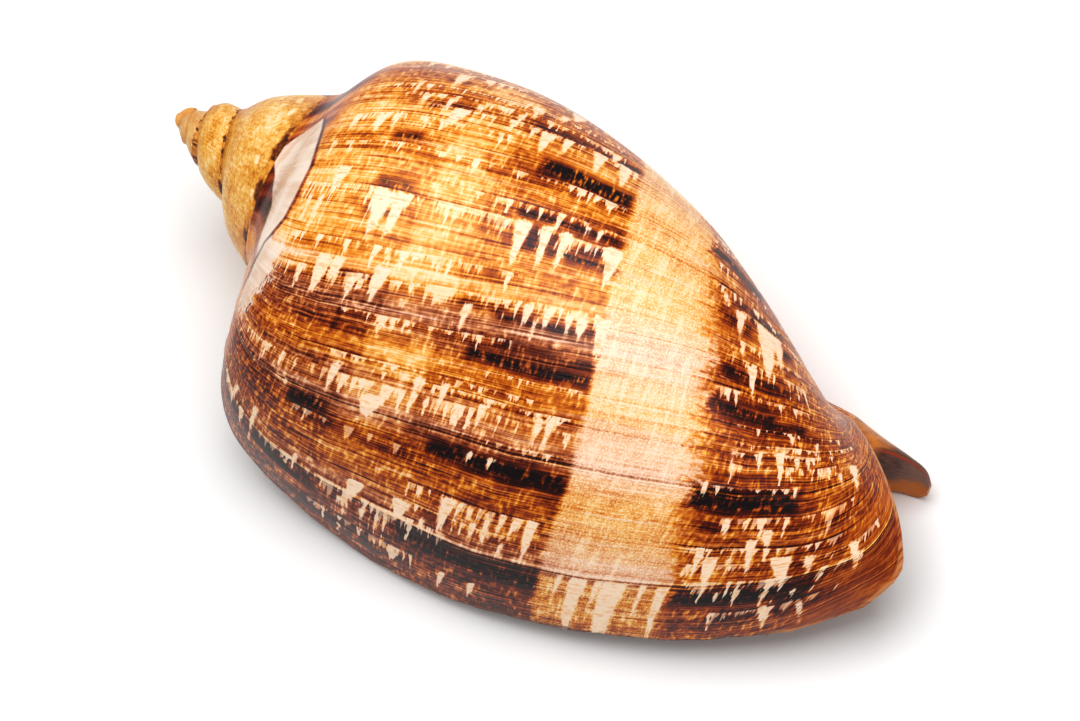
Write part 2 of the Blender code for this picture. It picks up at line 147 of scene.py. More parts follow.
# Growth lines on the last whorl, as its age at each of these rows. The first is the lip
# as it really runs, and each line is named by its age at row 5.
LINE_ROWS = (0.0, 2.0, 2.5, 3.0, 3.5, 4.0, 5.0, 6.0, 6.9, 7.5, 8.0, 9.0)
GROWTH_LINES = (
    (0.0, (0.06, 0.09, 0.055, 0.033, 0.010, 0.0, 0.0, 0.0, 0.0, 0.0, 0.0, 0.0)),
    (0.063, (0.11, 0.135, 0.108, 0.086, 0.072, 0.066, 0.063, 0.068, 0.081, 0.100, 0.118, 0.15)),
    (0.148, (0.17, 0.172, 0.157, 0.146, 0.141, 0.141, 0.148, 0.164, 0.183, 0.207, 0.235, 0.29)),
    (0.254, (0.25, 0.235, 0.230, 0.2285, 0.232, 0.238, 0.254, 0.275, 0.293, 0.315, 0.335, 0.39)),
    (0.315, (0.31, 0.309, 0.308, 0.308, 0.308, 0.310, 0.315, 0.328, 0.345, 0.365, 0.385, 0.43)),
    (0.50, (0.50, 0.50, 0.50, 0.50, 0.50, 0.50, 0.50, 0.51, 0.52, 0.53, 0.54, 0.56)),
    (0.70, (0.70,) * 12),
    (6.0, (6.0,) * 12),
)

# Fineness of the surface: spacing of the columns near the lip, round the back and up
# the spire, in turns, and of the rows above and below the line of the seam.
LIP_SIDE = 0.45
COLUMN_STEPS = (0.0036, 0.009, 0.0105)
ROW_STEPS = (0.05, 0.024, 0.03)
TIP_RINGS = 8
CAP_COLUMNS = 44
CAP_ROWS = 8
# Other spacings, in rows or turns: the covered wall above and on the folds, the spire, the
# inside above and below its corner, and the depth of the hollow. Then the steps through the
# lip's thickness, and the points round the tongue and the rings along it.
COVERED_ROW_STEPS = (0.09, 0.045)
SPIRE_ROW_STEP = 0.12
INNER_ROW_STEPS = (0.25, 0.07)
DEEP_STEP = 0.0125
LIP_STEPS = 6
TONGUE_POINTS = 121
TONGUE_RINGS = 25
# How far the covered wall runs on past the seam and past the hollow's end, so that no gap shows.
OVERLAP_ROWS = 0.05
OVERLAP_TURNS = 0.15
# Rows where the outer rows get finer, and columns in a turn and rows for the fit to the frame.
UPPER_ROW = 2.0
FRONT_ROW = 7.4
FIT_COLUMNS = 44
FIT_ROWS = 60


def part_way(x, low, high):
    """How far x is from low to high, held between 0 and 1."""
    return np.clip((x - low) / (high - low), 0.0, 1.0)


def ease(x, low, high):
    """Ease from 0 at low to 1 at high."""
    share = part_way(x, low, high)
    return share * share * (3.0 - 2.0 * share)


def through(knots, at):
    """Smooth curve through (place, value) pairs."""
    xs, ys = (np.array(part, float) for part in zip(*knots))
    at = np.asarray(at, float)
    slope = np.diff(ys) / np.diff(xs)
    gap = np.diff(xs)
    lean = np.empty_like(ys)
    lean[0], lean[-1] = slope[0], slope[-1]
    lean[1:-1] = (slope[:-1] * gap[1:] + slope[1:] * gap[:-1]) / (gap[:-1] + gap[1:])
    i = np.clip(np.searchsorted(xs, at) - 1, 0, len(xs) - 2)
    h = xs[i + 1] - xs[i]
    t = np.clip((at - xs[i]) / h, 0.0, 1.0)
    inside = (ys[i] * (2 * t**3 - 3 * t**2 + 1) + ys[i + 1] * (3 * t**2 - 2 * t**3)
              + h * lean[i] * (t**3 - 2 * t**2 + t) + h * lean[i + 1] * (t**3 - t**2))
    before = np.minimum(at - xs[0], 0.0) * lean[0]
    after = np.maximum(at - xs[-1], 0.0) * lean[-1]
    return inside + before + after


def seam(turn):
    """Radius and drop of the seam."""
    reach = np.exp(through([(place, math.log(far)) for place, far in SEAM_REACH], turn))
    spread = np.radians(through(SEAM_SPREAD, turn))
    return reach * np.sin(spread), reach * np.cos(spread)


def attach(turn):
    """Radius and drop of the line where the following whorl meets this one."""
    near, beside = seam(0.0), seam(0.1)
    values = []
    for part, knots in enumerate((ATTACH_RADIUS, ATTACH_DROP)):
        knots = knots + ((1.0, float(near[part])), (1.1, float(beside[part])))
        earlier = seam(np.maximum(turn - 1.0, 0.0))[part]
        values.append(np.where(turn >= 1.0, earlier, through(knots, np.minimum(turn, 1.0))))
    return values


def column_radius(turn):
    """Radius of the column's oval top, seen from the coiling axis."""
    angle = 2.0 * math.pi * (turn - TONGUE_TURN)
    centre, deep, wide = TONGUE_CENTRE[0], TONGUE_OUTER[0], TONGUE_HALF_WIDTH[0]
    a = (np.cos(angle) / deep) ** 2 + (np.sin(angle) / wide) ** 2
    b = -2.0 * centre * np.cos(angle) / deep**2
    c = (centre / deep) ** 2 - 1.0
    return (-b + np.sqrt(b * b - 4.0 * a * c)) / (2.0 * a)


def rim(turn):
    """Radius and drop of the front rim, then of the top of the column."""
    on_rim = turn < NOTCH_TURN
    early = np.minimum(turn, NOTCH_TURN)
    radius = np.where(on_rim, through(RIM_RADIUS, early), column_radius(turn))
    drop = np.where(on_rim, through(RIM_DROP, early), TONGUE_DROP[0])
    behind = ease(turn - 1.0 - NOTCH_TURN, 0.0, FLOOR_TURNS)
    return radius * (1.0 - FLOOR_NARROWS * behind), drop - FLOOR_RISE * behind


def side_points(turn):
    """The points down a whorl's side that its outline is drawn through."""
    points = []
    top, line, foot = seam(turn), attach(turn), rim(turn)
    full = through(SHOULDER_FULLNESS, np.minimum(turn, SHOULDER_FULLNESS[-1][0]))
    low = through(LOWER_FULLNESS, np.minimum(turn, LOWER_FULLNESS[-1][0]))
    neck = through(NECK, np.minimum(turn, NECK[-1][0]))
    run = (line[0] - top[0], line[1] - top[1])
    points.append(top)
    for along, out in SHOULDER:
        out = out * full
        points.append((top[0] + along * run[0] + out * run[1], top[1] + along * run[1] - out * run[0]))
    run = (foot[0] - line[0], foot[1] - line[1])
    points.append(line)
    for along, bulge, pinch in LOWER:
        out = bulge * low + pinch * neck
        points.append((line[0] + along * run[0] + out * run[1], line[1] + along * run[1] - out * run[0]))
    points.append(foot)
    return points


def side(turn, row):
    """Radius and drop on a whorl's side, for arrays of turns and rows of one shape."""
    points = np.array([np.stack(np.broadcast_arrays(*p)) for p in side_points(turn)])
    first, last = 2 * points[0] - points[1], 2 * points[-1] - points[-2]
    points = np.concatenate([[first], points, [last]])
    start = np.clip(row.astype(int), 0, int(RIM_ROW) - 1)
    t = row - start
    a, b, c, d = (np.take_along_axis(points, (start + k)[None, None], 0)[0] for k in range(4))
    apart = ease(turn, 1.0 - SEAM_JOINS_OVER, 1.0)
    d = d + (2 * c - b - d) * apart * (start == int(SEAM_ROW) - 1)
    a = a + (2 * b - c - a) * apart * (start == int(SEAM_ROW))
    return 0.5 * (2 * b + (c - a) * t + (2 * a - 5 * b + 4 * c - d) * t**2 + (3 * b - a - 3 * c + d) * t**3)


def fold(turn, row):
    """Height of the folds wound round the column, which fade out beyond the opening."""
    span = FOLDS * FOLD_SPACING
    place = part_way(row, FOLDS_FROM, FOLDS_FROM + span)
    wave = 0.5 - 0.5 * np.cos(2.0 * math.pi * FOLDS * place)
    return FOLD_HEIGHT * wave * ease(turn, *FOLDS_BEGIN) * ease(turn, *FOLDS_END)


def surface(turn, row):
    """Points on the coiled outer surface."""
    turn, row = np.broadcast_arrays(turn, row)
    radius, drop = side(turn, row)
    radius = radius + fold(turn, row)
    angle = 2.0 * math.pi * turn
    whorl = turn + np.minimum(row, SEAM_ROW) / SEAM_ROW - 1.0
    lean = TIP_LEAN * ease(whorl, TIP_LEANS_FROM, COIL_TURNS - 1.0)
    x = radius * np.cos(angle) + lean * math.cos(2.0 * math.pi * TIP_LEANS_TO)
    y = radius * np.sin(angle) + lean * math.sin(2.0 * math.pi * TIP_LEANS_TO)
    return np.stack([x, y, -drop], -1)


def old_lag(row):
    """Lag of the growth lines on a surface that the next whorl covers."""
    return through(GROWTH_LAG, RIM_ROW) * ease(row, WALL_ROW, RIM_ROW)


def lag(age, row):
    """Lag of the growth lines, which evens out with age above the line of the seam."""
    share = ease(age, *LAG_EVENS_OUT)
    return through(GROWTH_LAG, row) * (1.0 - share) + old_lag(row) * share


def age_at(growth, row):
    """Age of a point on the growth line of that name."""
    growth, row = np.broadcast_arrays(growth, row)
    names = np.array([name for name, _ in GROWTH_LINES])
    ages = np.array([np.interp(row, LINE_ROWS, line) for _, line in GROWTH_LINES])
    i = np.clip(np.searchsorted(names, growth) - 1, 0, len(names) - 2)
    share = (growth - names[i]) / (names[i + 1] - names[i])
    low = np.take_along_axis(ages, i[None], 0)[0]
    high = np.take_along_axis(ages, i[None] + 1, 0)[0]
    return low + (high - low) * share


def unit(vectors):
    """Vectors made one unit long."""
    return vectors / np.maximum(np.linalg.norm(vectors, axis=-1, keepdims=True), 1e-12)


def outward(grid):
    """Normals of a grid of points, pointing away from the coiling axis."""
    normals = unit(np.cross(np.gradient(grid, axis=0), np.gradient(grid, axis=1)))
    away = (normals[..., 0] * grid[..., 0] + normals[..., 1] * grid[..., 1]).sum()
    return normals * (1.0 if away > 0 else -1.0)


def tongue_ring(turn, at):
    """One oval of the column and its tongue, for the turns of its points."""
    angle = 2.0 * math.pi * (turn - TONGUE_TURN)
    radius = column_radius(turn)
    deep, wide, centre = TONGUE_OUTER[0], TONGUE_HALF_WIDTH[0], TONGUE_CENTRE[0]
    round_oval = np.arctan2(radius * np.sin(angle) / wide, (radius * np.cos(angle) - centre) / deep)
    middle, outer, inner, half, drop = (
        float(through(tuple(zip(TONGUE_AT, values)), at))
        for values in (TONGUE_CENTRE, TONGUE_OUTER, TONGUE_INNER, TONGUE_HALF_WIDTH, TONGUE_DROP))
    reach = np.where(np.cos(round_oval) > 0, outer, inner)
    out = middle + reach * np.cos(round_oval)
    across = half * np.sin(round_oval)
    heading = 2.0 * math.pi * (TONGUE_TURN + TONGUE_TWIST * at)
    x = out * math.cos(heading) - across * math.sin(heading)
    y = out * math.sin(heading) + across * math.cos(heading)
    return np.stack([x, y, np.full_like(x, -drop)], -1)


def tip_cap():
    """Middle of the base of the round cap on the tip, and the rise from there to the tip."""
    turn = COIL_TURNS - 1.0 + np.arange(CAP_COLUMNS) / CAP_COLUMNS
    edge = surface(turn, np.zeros_like(turn))
    last = np.arange(CAP_ROWS) * SEAM_ROW / CAP_ROWS
    middle = np.concatenate([edge, surface(np.full_like(last, COIL_TURNS), last)]).mean(axis=0)
    return middle, np.array([0.0, 0.0, -TIP_DROP - middle[2]])


def lying_axes():
    """Rows that turn the coil's axes into those of the shell lying on its opening."""
    turn = 2.0 * math.pi * DOWN_TURN
    slope = math.radians(DOWN_SLOPE)
    down = np.array([math.cos(turn) * math.cos(slope), math.sin(turn) * math.cos(slope), math.sin(slope)])
    front = np.array([0.0, 0.0, -1.0])
    along = unit(front - front.dot(down) * down)
    return np.stack([along, np.cross(-down, along), -down])


# The marks on the last whorl, in thousandths of a turn and hundredths of a row. A tent is a
# pale mark with a flat foot on a growth line that narrows towards the lip: (growth of its
# foot, row, width at the foot, height along the growth, shift of its tip across the rows).
TURN_PARTS = 1000.0
ROW_PARTS = 100.0
TENTS = (
    (55, 368, 5.5, 50, -2), (55, 388.5, 5, 45, -2), (30, 478, 7, 22, -5), (30, 508, 7, 20, -3),
    (90, 280, 7, 55, 0), (85, 245, 8, 60, -10), (73, 330, 6, 22, 0), (78, 342, 5, 20, 0),
    (78, 379, 15, 24, -3), (78.5, 420, 20, 20, 0), (97, 463, 15, 36, 0), (71, 444, 7, 13, 0),
    (96, 486, 6, 13, 0), (96, 475, 6, 20, 0), (86, 493, 6, 24, 2), (92, 505, 6, 26, 0),
    (98, 516, 6, 20, 0), (98, 528, 7, 22, 0), (98, 541, 11, 36, 3), (75, 523, 5, 14, 0),
    (100, 392, 6, 12, 0), (139, 465, 7, 11, 0), (139, 486, 7, 10, 0), (161, 369, 19, 26, -2),
    (181, 335, 8, 30, 0), (148, 301, 6, 18, 2), (187, 397, 9, 30, 0), (187, 383, 6, 30, 0),
    (187, 420, 8, 22, 0), (178, 460, 8, 21, 0), (178, 512, 7, 22, 0), (180, 522, 8, 25, 0),
    (193, 328, 6, 14, 0), (254.5, 415, 8, 25, -1), (252, 478, 5, 20, 0), (268, 287, 16, 34, 0),
    (268, 302, 11, 22, 0), (259, 320, 8, 24, 0), (267, 340, 12, 28, 0), (260, 468, 9, 18, 0),
    (260, 487, 8, 19, 0), (259, 505, 9, 19, 2), (259, 516, 10, 21, 2), (259, 532, 13, 30, 4),
    (312.5, 314, 18, 34, 3), (312.5, 330, 14, 30, 1), (315, 437, 15, 34, 2), (315, 459, 12, 32, 2),
    (315, 477, 10, 33, 0), (315, 520, 16, 34, 3), (327, 465, 8, 15, 0), (325, 492, 5, 10, 0),
    (326, 503, 6, 12, 0), (305, 245, 7, 26, 2), (305, 228, 7, 18, 2), (327, 255, 18, 22, 0),
    (257, 670, 12, 25, 6), (312.5, 679, 27, 64, 11), (312.5, 695, 13, 50, 10), (311, 646, 12, 30, 5),
    (320, 627, 7, 12, 2), (185.5, 715, 10, 22, 7), (183, 732, 6, 18, 6), (183, 744, 6, 18, 5),
    (200, 752, 6, 22, 4), (204, 724, 5, 14, 3), (186, 697, 6, 20, 3), (184, 673, 5, 18, 2),
    (59.5, 597, 15, 85, 0), (59.5, 628, 22, 120, 2), (59, 653, 5, 40, 2), (59.5, 671, 11, 65, 5),
    (59, 614, 5, 40, 0), (59, 580, 5, 30, 0), (38.5, 766, 9, 30, 16), (39.5, 797, 7, 31, 27),
    (53.5, 780, 5, 18, 11), (54.5, 718, 6, 12, 4), (54, 733, 6, 12, 4), (90, 695, 13, 37, 11),
    (88, 751, 18, 34, 17), (87, 775, 9, 22, 9), (96, 812, 13, 28, 16), (98.5, 683, 9, 30, 6),
    (105.5, 720, 9, 38, 13), (90, 710, 4, 22, 7), (126, 690, 8, 20, 7), (115.5, 727, 9, 22, 10),
    (125, 705, 5, 13, 5), (152.5, 658, 6, 14, 3), (152, 737, 5, 12, 3), (175, 805, 16, 34, 5),
    (165, 783, 6, 20, 6), (378, 264, 16, 18, 0), (380, 283, 11, 19, 0), (377, 227, 11, 16, 0),
    (393.5, 340, 18, 20, -4), (394, 407, 7, 13, 0), (393.5, 422, 15, 23, -1), (394, 441, 9, 19, 0),
    (394.5, 474, 13, 24, 1), (396, 500, 14, 26, 2), (396, 510, 6, 15, 0), (405, 298, 9, 19, 0),
    (405, 325, 8, 16, 0), (403, 353, 8, 15, 0), (407, 377, 7, 16, 0), (406, 390, 7, 18, 0),
    (404, 487, 10, 13, 0), (423, 400, 9, 19, 0), (425, 425, 6, 16, 0), (424, 280, 7, 21, 0),
    (448, 317, 14, 34, 0), (452, 343, 11, 22, 0), (452, 435, 20, 28, 0),
)

# A bar is a dark mark along a growth line: (first row, its growth, last row, its growth,
# half its thickness).
BARS = (
    (425, 51, 564, 46, 6.8), (685, 50, 795, 48, 6.5), (290, 52, 330, 55, 4), (425, 132, 552, 131, 7),
    (308, 134, 338, 137, 6), (652, 140, 742, 138, 9), (428, 216, 538, 211, 5), (450, 226, 536, 224, 1.8),
    (638, 217, 705, 214, 4.8), (695, 208.5, 735, 208.5, 2.8), (642, 245, 715, 244, 3.6),
    (307, 260.5, 334, 260.5, 1.8), (445, 248.5, 535, 242.5, 2), (410, 257, 450, 254.5, 1.4),
    (445, 300, 527, 298, 3), (440, 308.5, 472, 308.5, 2.6), (495, 308.5, 512, 308.5, 2.6),
    (430, 320.5, 525, 318.5, 3), (302, 319, 335, 319, 3), (318, 299, 328, 299, 2.2),
    (305, 299.5, 310, 299.5, 3), (630, 294, 645, 294, 4.2), (653, 294, 661, 296, 6.2),
    (640, 317, 650, 317, 2.2), (660, 316.5, 700, 318, 3.6), (703, 295, 715, 296, 4),
    (430, 360.5, 518, 357.5, 7.5), (293, 358, 320, 359.5, 3.6), (602, 363, 670, 357, 5.2),
    (410, 397, 485, 397, 1.6), (493, 398.5, 512, 399, 1.8), (312, 395.5, 350, 396.5, 1.6),
    (308, 431.5, 314, 431.5, 4), (321, 430, 328, 430, 3.2),
)
# How sharply a tent narrows, and the distance in millimetres given to points in no mark.
TENT_NARROWS = 0.85
FAR_OUTSIDE = -3.0

# Growth scars, where the lip once stood: (growth, height of the step in millimetres).
SCARS = (
    (0.0615, 0.55), (0.147, 0.6), (0.262, 0.32), (0.188, 0.22), (0.332, 0.25), (0.408, 0.3), (0.105, 0.2),
    (0.5, 0.4), (0.61, 0.35), (0.72, 0.4), (0.86, 0.3), (0.96, 0.35),
)
# How the scars waver, fade behind the step and rise to it, in turns, and their share of the
# height given. Then the low ripples' height in millimetres, and the rows they ease in over.
SCAR_WAVERS = 0.0025
SCAR_FADES = 0.004
SCAR_RISES = 0.0012
SCAR_SHARE = 0.55
RIPPLE = 0.10
RIPPLE_ROWS = (0.5, 2.0)
# The relief fades out over this much before a turn is complete, from the seams and to the rim.
FADE_TURNS = 0.05
FADE_ROWS = 0.4
FADE_RIM_ROWS = 0.3

# The worn lip's edge, in turns: how far it has gone back at least, by slow waves and by small
# chips, how much its front corner is rounded and from which row, and how deep chips reach.
CHIP_LEAST = 0.0022
CHIP_WAVES = 0.0018
CHIP_TEETH = 0.0012
CORNER_ROUNDING = 0.020
CORNER_ROUND_FROM = 8.1
CHIPS_REACH = 0.03
# At the lip's front corner the growth lines turn up along the rim.
CORNER_BEND = 0.07
CORNER_BEND_FROM = 7.4
# The lip's very edge has its own colour: how wide that is, and its share of the way inside.
MARGIN_TURNS = 0.006
MARGIN_ROWS = 0.12
MARGIN_SHARE = 0.3
# The wall thins over these turns before the notch.
NOTCH_THINS = 0.09
# The hollow in the tongue's side, as a share of its thickness, and where it eases in and out
# round the tongue and along it.
TONGUE_DENT = 0.30
DENT_AROUND = ((0.86, 1.06), (1.50, 1.42))
DENT_ALONG = ((0.30, 0.50), (0.98, 0.83))
# Each of the summed waves is this much faster and this much lower than the one before it.
WAVE_QUICKENS = 1.9
WAVE_SHRINKS = 0.6
# Rows and turns that the growth map spans.
MAP_ROWS = 10.0
MAP_TURNS = 5.0


def rough_wave(x, seed, waves, slowest):
    """Smooth wandering value within -1 and 1, a sum of waves at slightly random paces."""
    rng = np.random.default_rng(seed)
    total = np.zeros_like(np.asarray(x, float))
    weight = 0.0
    for k in range(waves):
        pace = slowest * WAVE_QUICKENS**k * rng.uniform(0.8, 1.2)
        total = total + WAVE_SHRINKS**k * np.sin(2.0 * math.pi * (pace * x + rng.uniform()))
        weight += WAVE_SHRINKS**k
    return total / weight


def relief(growth, row):
    """Height of the growth scars and ridges on the outside, in millimetres."""
    waver = SCAR_WAVERS * rough_wave(row, seed=5, waves=4, slowest=0.25)
    height = np.zeros(np.broadcast(growth, row).shape)
    for place, step in SCARS:
        d = growth + waver - place
        height = height + step * np.exp(-np.maximum(d, 0.0) / SCAR_FADES) * ease(d, -SCAR_RISES, 0.0)
    ripple = rough_wave(growth + waver, seed=9, waves=5, slowest=14.0)
    return SCAR_SHARE * height + RIPPLE * ripple * ease(row, *RIPPLE_ROWS)


def chips(row):
    """How far the worn lip has chipped back, in turns."""
    jag = rough_wave(row, seed=3, waves=6, slowest=1.1)
    fine = rough_wave(row, seed=4, waves=4, slowest=9.0)
    rounding = CORNER_ROUNDING * part_way(row, CORNER_ROUND_FROM, RIM_ROW) ** 3
    return CHIP_LEAST + CHIP_WAVES * jag + CHIP_TEETH * np.maximum(fine, 0.0) + rounding


def worn_turn(growth, row):
    """Turn of a point on the last whorl, with the lip's edge chipped back."""
    worn = growth + chips(row) * part_way(growth, CHIPS_REACH, 0.0)
    age = age_at(worn, row)
    return age + lag(age, row)


def bend_to_corner(growth, row):
    """Growth as the markings follow it, bent up along the rim at the front."""
    return growth - CORNER_BEND * part_way(row, CORNER_BEND_FROM, RIM_ROW) ** 2


def row_steps(first, last, step):
    """Evenly spaced rows or turns from first to last."""
    return np.linspace(first, last, max(2, round((last - first) / step)) + 1)


class Sheet:
    """A grid of places on the shell: a growth line for each column and a row for each point."""

    def __init__(self, lines, rows):
        self.lines = lines
        self.rows = rows
        self.growth, self.row = np.meshgrid(lines, rows, indexing="ij")


class Skin:
    """Vertices, faces and what each vertex knows about its place on the shell."""

    def __init__(self):
        self.points = []
        self.facts = []
        self.faces = []
        self.count = 0

    def add(self, points, growth, row, inside=0.0, tents=FAR_OUTSIDE, bars=FAR_OUTSIDE, tongue=0.0):
        """Add an array of points and return their numbers in the same shape."""
        shape = points.shape[:-1]
        values = [np.broadcast_to(v, shape).ravel() for v in (growth, row, inside, tents, bars, tongue)]
        self.points.append(points.reshape(-1, 3))
        self.facts.append(np.stack(values, -1))
        numbers = np.arange(self.count, self.count + values[0].size).reshape(shape)
        self.count += values[0].size
        return numbers

    def sheet(self, numbers, flip=False):
        """Faces over a grid of vertex numbers."""
        corners = [numbers[:-1, :-1], numbers[:-1, 1:], numbers[1:, 1:], numbers[1:, :-1]]
        if flip:
            corners.reverse()
        self.faces.append(np.stack(corners, -1).reshape(-1, 4))


def marks(points, growth, row):
    """Distance in millimetres inside the nearest tent and the nearest bar, for each point."""
    growth, row = growth * TURN_PARTS, row * ROW_PARTS
    across = np.linalg.norm(np.gradient(points, axis=1), axis=-1) / np.gradient(row, axis=1)
    along = np.linalg.norm(np.gradient(points, axis=0), axis=-1) / np.gradient(growth, axis=0)
    tents = np.full(growth.shape, FAR_OUTSIDE)
    bars = np.full(growth.shape, FAR_OUTSIDE)
    for foot, place, width, height, shift in TENTS:
        d = foot - growth
        share = np.clip(d / height, 0.0, 1.0)
        half = 0.5 * width * (1.0 - share) ** TENT_NARROWS
        beside = (half - np.abs(row - place - shift * share)) * across
        tents = np.maximum(tents, np.minimum(np.minimum(beside, d * along), (height - d) * along))
    for first, start, last, end, half in BARS:
        share = part_way(row, first, last)
        thick = (half - np.abs(growth - start - (end - start) * share)) * along
        within = np.minimum(row - first, last - row) * across
        bars = np.maximum(bars, np.minimum(thick, within))
    return tents, bars


def add_outside(skin):
    """The outside of the last whorl, with its scars, its chipped lip and its marks."""
    near, back, _ = COLUMN_STEPS
    upper, middle, front = ROW_STEPS
    lines = np.concatenate([row_steps(0.0, LIP_SIDE, near), row_steps(LIP_SIDE, 1.0, back)[1:]])
    rows = np.concatenate([row_steps(0.0, UPPER_ROW, 2 * upper), row_steps(UPPER_ROW, SEAM_ROW, upper)[1:],
                           row_steps(SEAM_ROW, FRONT_ROW, middle)[1:],
                           row_steps(FRONT_ROW, RIM_ROW, front)[1:]])
    sheet = Sheet(lines, rows)
    growth, row = sheet.growth, sheet.row
    plain = surface(worn_turn(growth, row), row)
    bent = bend_to_corner(growth, row)
    fade = np.minimum(ease(growth, 1.0, 1.0 - FADE_TURNS), ease(row, 0.0, FADE_ROWS))
    height = relief(bent, row) * fade * ease(row, RIM_ROW, RIM_ROW - FADE_RIM_ROWS)
    sheet.points = plain + outward(plain) * height[..., None]
    tents, bars = marks(plain, growth, row)
    margin = np.maximum(part_way(growth, MARGIN_TURNS, 0.0), part_way(row, RIM_ROW - MARGIN_ROWS, RIM_ROW))
    skin.sheet(skin.add(sheet.points, bent, row, MARGIN_SHARE * margin, tents, bars))
    return sheet


def add_covered_wall(skin):
    """The wall of the whorl before, where the last whorl covers it, with the folds."""
    upper, lower = COVERED_ROW_STEPS
    rows = np.concatenate([row_steps(SEAM_ROW - OVERLAP_ROWS, FOLDS_FROM, upper),
                           row_steps(FOLDS_FROM, RIM_ROW, lower)[1:]])
    sheet = Sheet(row_steps(0.0, HOLLOW_TURNS + OVERLAP_TURNS, DEEP_STEP), rows)
    wall = surface(1.0 + sheet.growth + old_lag(sheet.row), sheet.row)
    skin.sheet(skin.add(wall, 1.0 + sheet.growth, sheet.row, 1.0))


def add_spire(skin):
    """The whorls of the spire, with their low relief, and the round cap on the tip."""
    rows = row_steps(0.0, SEAM_ROW + SPIRE_ROW_STEP, SPIRE_ROW_STEP)
    sheet = Sheet(row_steps(1.0, COIL_TURNS, COLUMN_STEPS[2]), rows)
    growth, row = sheet.growth, sheet.row
    whorls = surface(growth, row)
    fade = np.minimum(ease(row, 0.0, FADE_ROWS), ease(row, SEAM_ROW, SEAM_ROW - FADE_ROWS))
    fade = fade * part_way(growth, COIL_TURNS, 0.0) * ease(growth, 1.0, 1.0 + FADE_TURNS)
    whorls = whorls + outward(whorls) * (relief(growth % 1.0, row) * fade)[..., None]
    numbers = skin.add(whorls, growth, row)
    skin.sheet(numbers)
    one_turn = int(round(1.0 / (sheet.lines[1] - sheet.lines[0])))
    edge = np.concatenate([numbers[-one_turn - 1:, 0], numbers[-1, 1:]])
    ring = np.concatenate([whorls[-one_turn - 1:, 0], whorls[-1, 1:]])
    return add_tip(skin, edge, ring)


def add_tip(skin, edge, ring):
    """The round cap, as rings that rise from the spire's last edge to a fan of triangles."""
    middle, rise = tip_cap()
    angle = 0.5 * math.pi * np.arange(1, TIP_RINGS) / TIP_RINGS
    dome = middle + (ring - middle) * np.cos(angle)[:, None, None] + rise * np.sin(angle)[:, None, None]
    dome[:, -1] = dome[:, 0]
    numbers = np.concatenate([edge[None], skin.add(dome, COIL_TURNS, 0.0)])
    skin.sheet(numbers)
    tip = skin.add((middle + rise)[None], COIL_TURNS, 0.0)
    return np.stack([numbers[-1, :-1], numbers[-1, 1:], np.full(len(edge) - 1, tip[0])], -1)


def wall_thickness(sheet):
    """Thickness of the wall, thinner at the lip, by the seam and beside the notch."""
    thick = LIP_EDGE + (WALL - LIP_EDGE) * ease(sheet.growth, 0.0, LIP_TAPER_TURNS)
    thick = thick * (CORNER_SHARE + (1.0 - CORNER_SHARE) * ease(sheet.row, CORNER_ROW, 2.0 * CORNER_ROW))
    return thick * (1.0 - (1.0 - sheet.by_notch) * ease(sheet.row, FOOT_ROW, FOOT_ROW + 1.0))


def close_foot(sheet):
    """Past the notch the inside's foot runs over to the column instead of the rim."""
    for points, turn in zip(sheet.points, sheet.turn[:, -1]):
        past = turn - NOTCH_TURN
        if past < 0:
            continue
        start = np.searchsorted(sheet.rows, FOOT_ROW - FOOT_CLIMB * ease(past, 0.0, FOOT_TURNS))
        share = ((sheet.rows[start:] - sheet.rows[start]) / (RIM_ROW - sheet.rows[start]))[:, None]
        floor = surface(np.array([1.0 + turn]), np.array([RIM_ROW]))
        points[start:] = points[start] + (floor - points[start]) * share


def add_inside(skin):
    """The inner face of the last whorl, which closes on the whorl before it at the corner."""
    upper, lower = INNER_ROW_STEPS
    rows = np.concatenate([row_steps(0.0, CORNER_ROW, upper), row_steps(CORNER_ROW, RIM_ROW, lower)[1:]])
    sheet = Sheet(row_steps(0.0, HOLLOW_TURNS, DEEP_STEP), rows)
    sheet.turn = worn_turn(sheet.growth, sheet.row)
    sheet.by_notch = ease(sheet.turn[:, -1:], NOTCH_TURN, NOTCH_TURN - NOTCH_THINS)
    sheet.base = surface(sheet.turn, sheet.row)
    inside = sheet.base - outward(sheet.base) * wall_thickness(sheet)[..., None]
    beside = surface(1.0 + sheet.turn[:, :1], np.full_like(sheet.turn[:, :1], WALL_ROW))
    full = inside[:, np.searchsorted(rows, CORNER_ROW)][:, None]
    close = beside + (full - beside) * (rows / CORNER_ROW)[None, :, None]
    sheet.points = np.where(rows[None, :, None] < CORNER_ROW, close, inside)
    close_foot(sheet)
    skin.sheet(skin.add(sheet.points, sheet.growth, sheet.row, 1.0), flip=True)
    return sheet


def moved_to(places, at, line):
    """Points of a line that is known at some places, at other places along it."""
    return np.array([np.interp(at, places, line[:, k]) for k in range(3)]).T


def through_wall(first, second, away=0.0):
    """Lines of points from one edge of the wall to the other, which swell away between them."""
    share = np.linspace(0.0, 1.0, LIP_STEPS)[:, None, None]
    swell = np.sin(math.pi * share) * 0.5 * LIP_EDGE
    return first * (1 - share) + second * share + away * swell, share[..., 0]


def add_lip(skin, outer, inner):
    """The rounded edge of the lip, between the outside and the inside."""
    ahead = unit(inner.base[0] - inner.base[1]) * ease(inner.rows, 0.0, CORNER_ROW)[:, None]
    edge = moved_to(outer.rows, inner.rows, outer.points[0])
    lip, share = through_wall(edge, inner.points[0], ahead)
    skin.sheet(skin.add(lip, 0.0, inner.rows, share), flip=True)


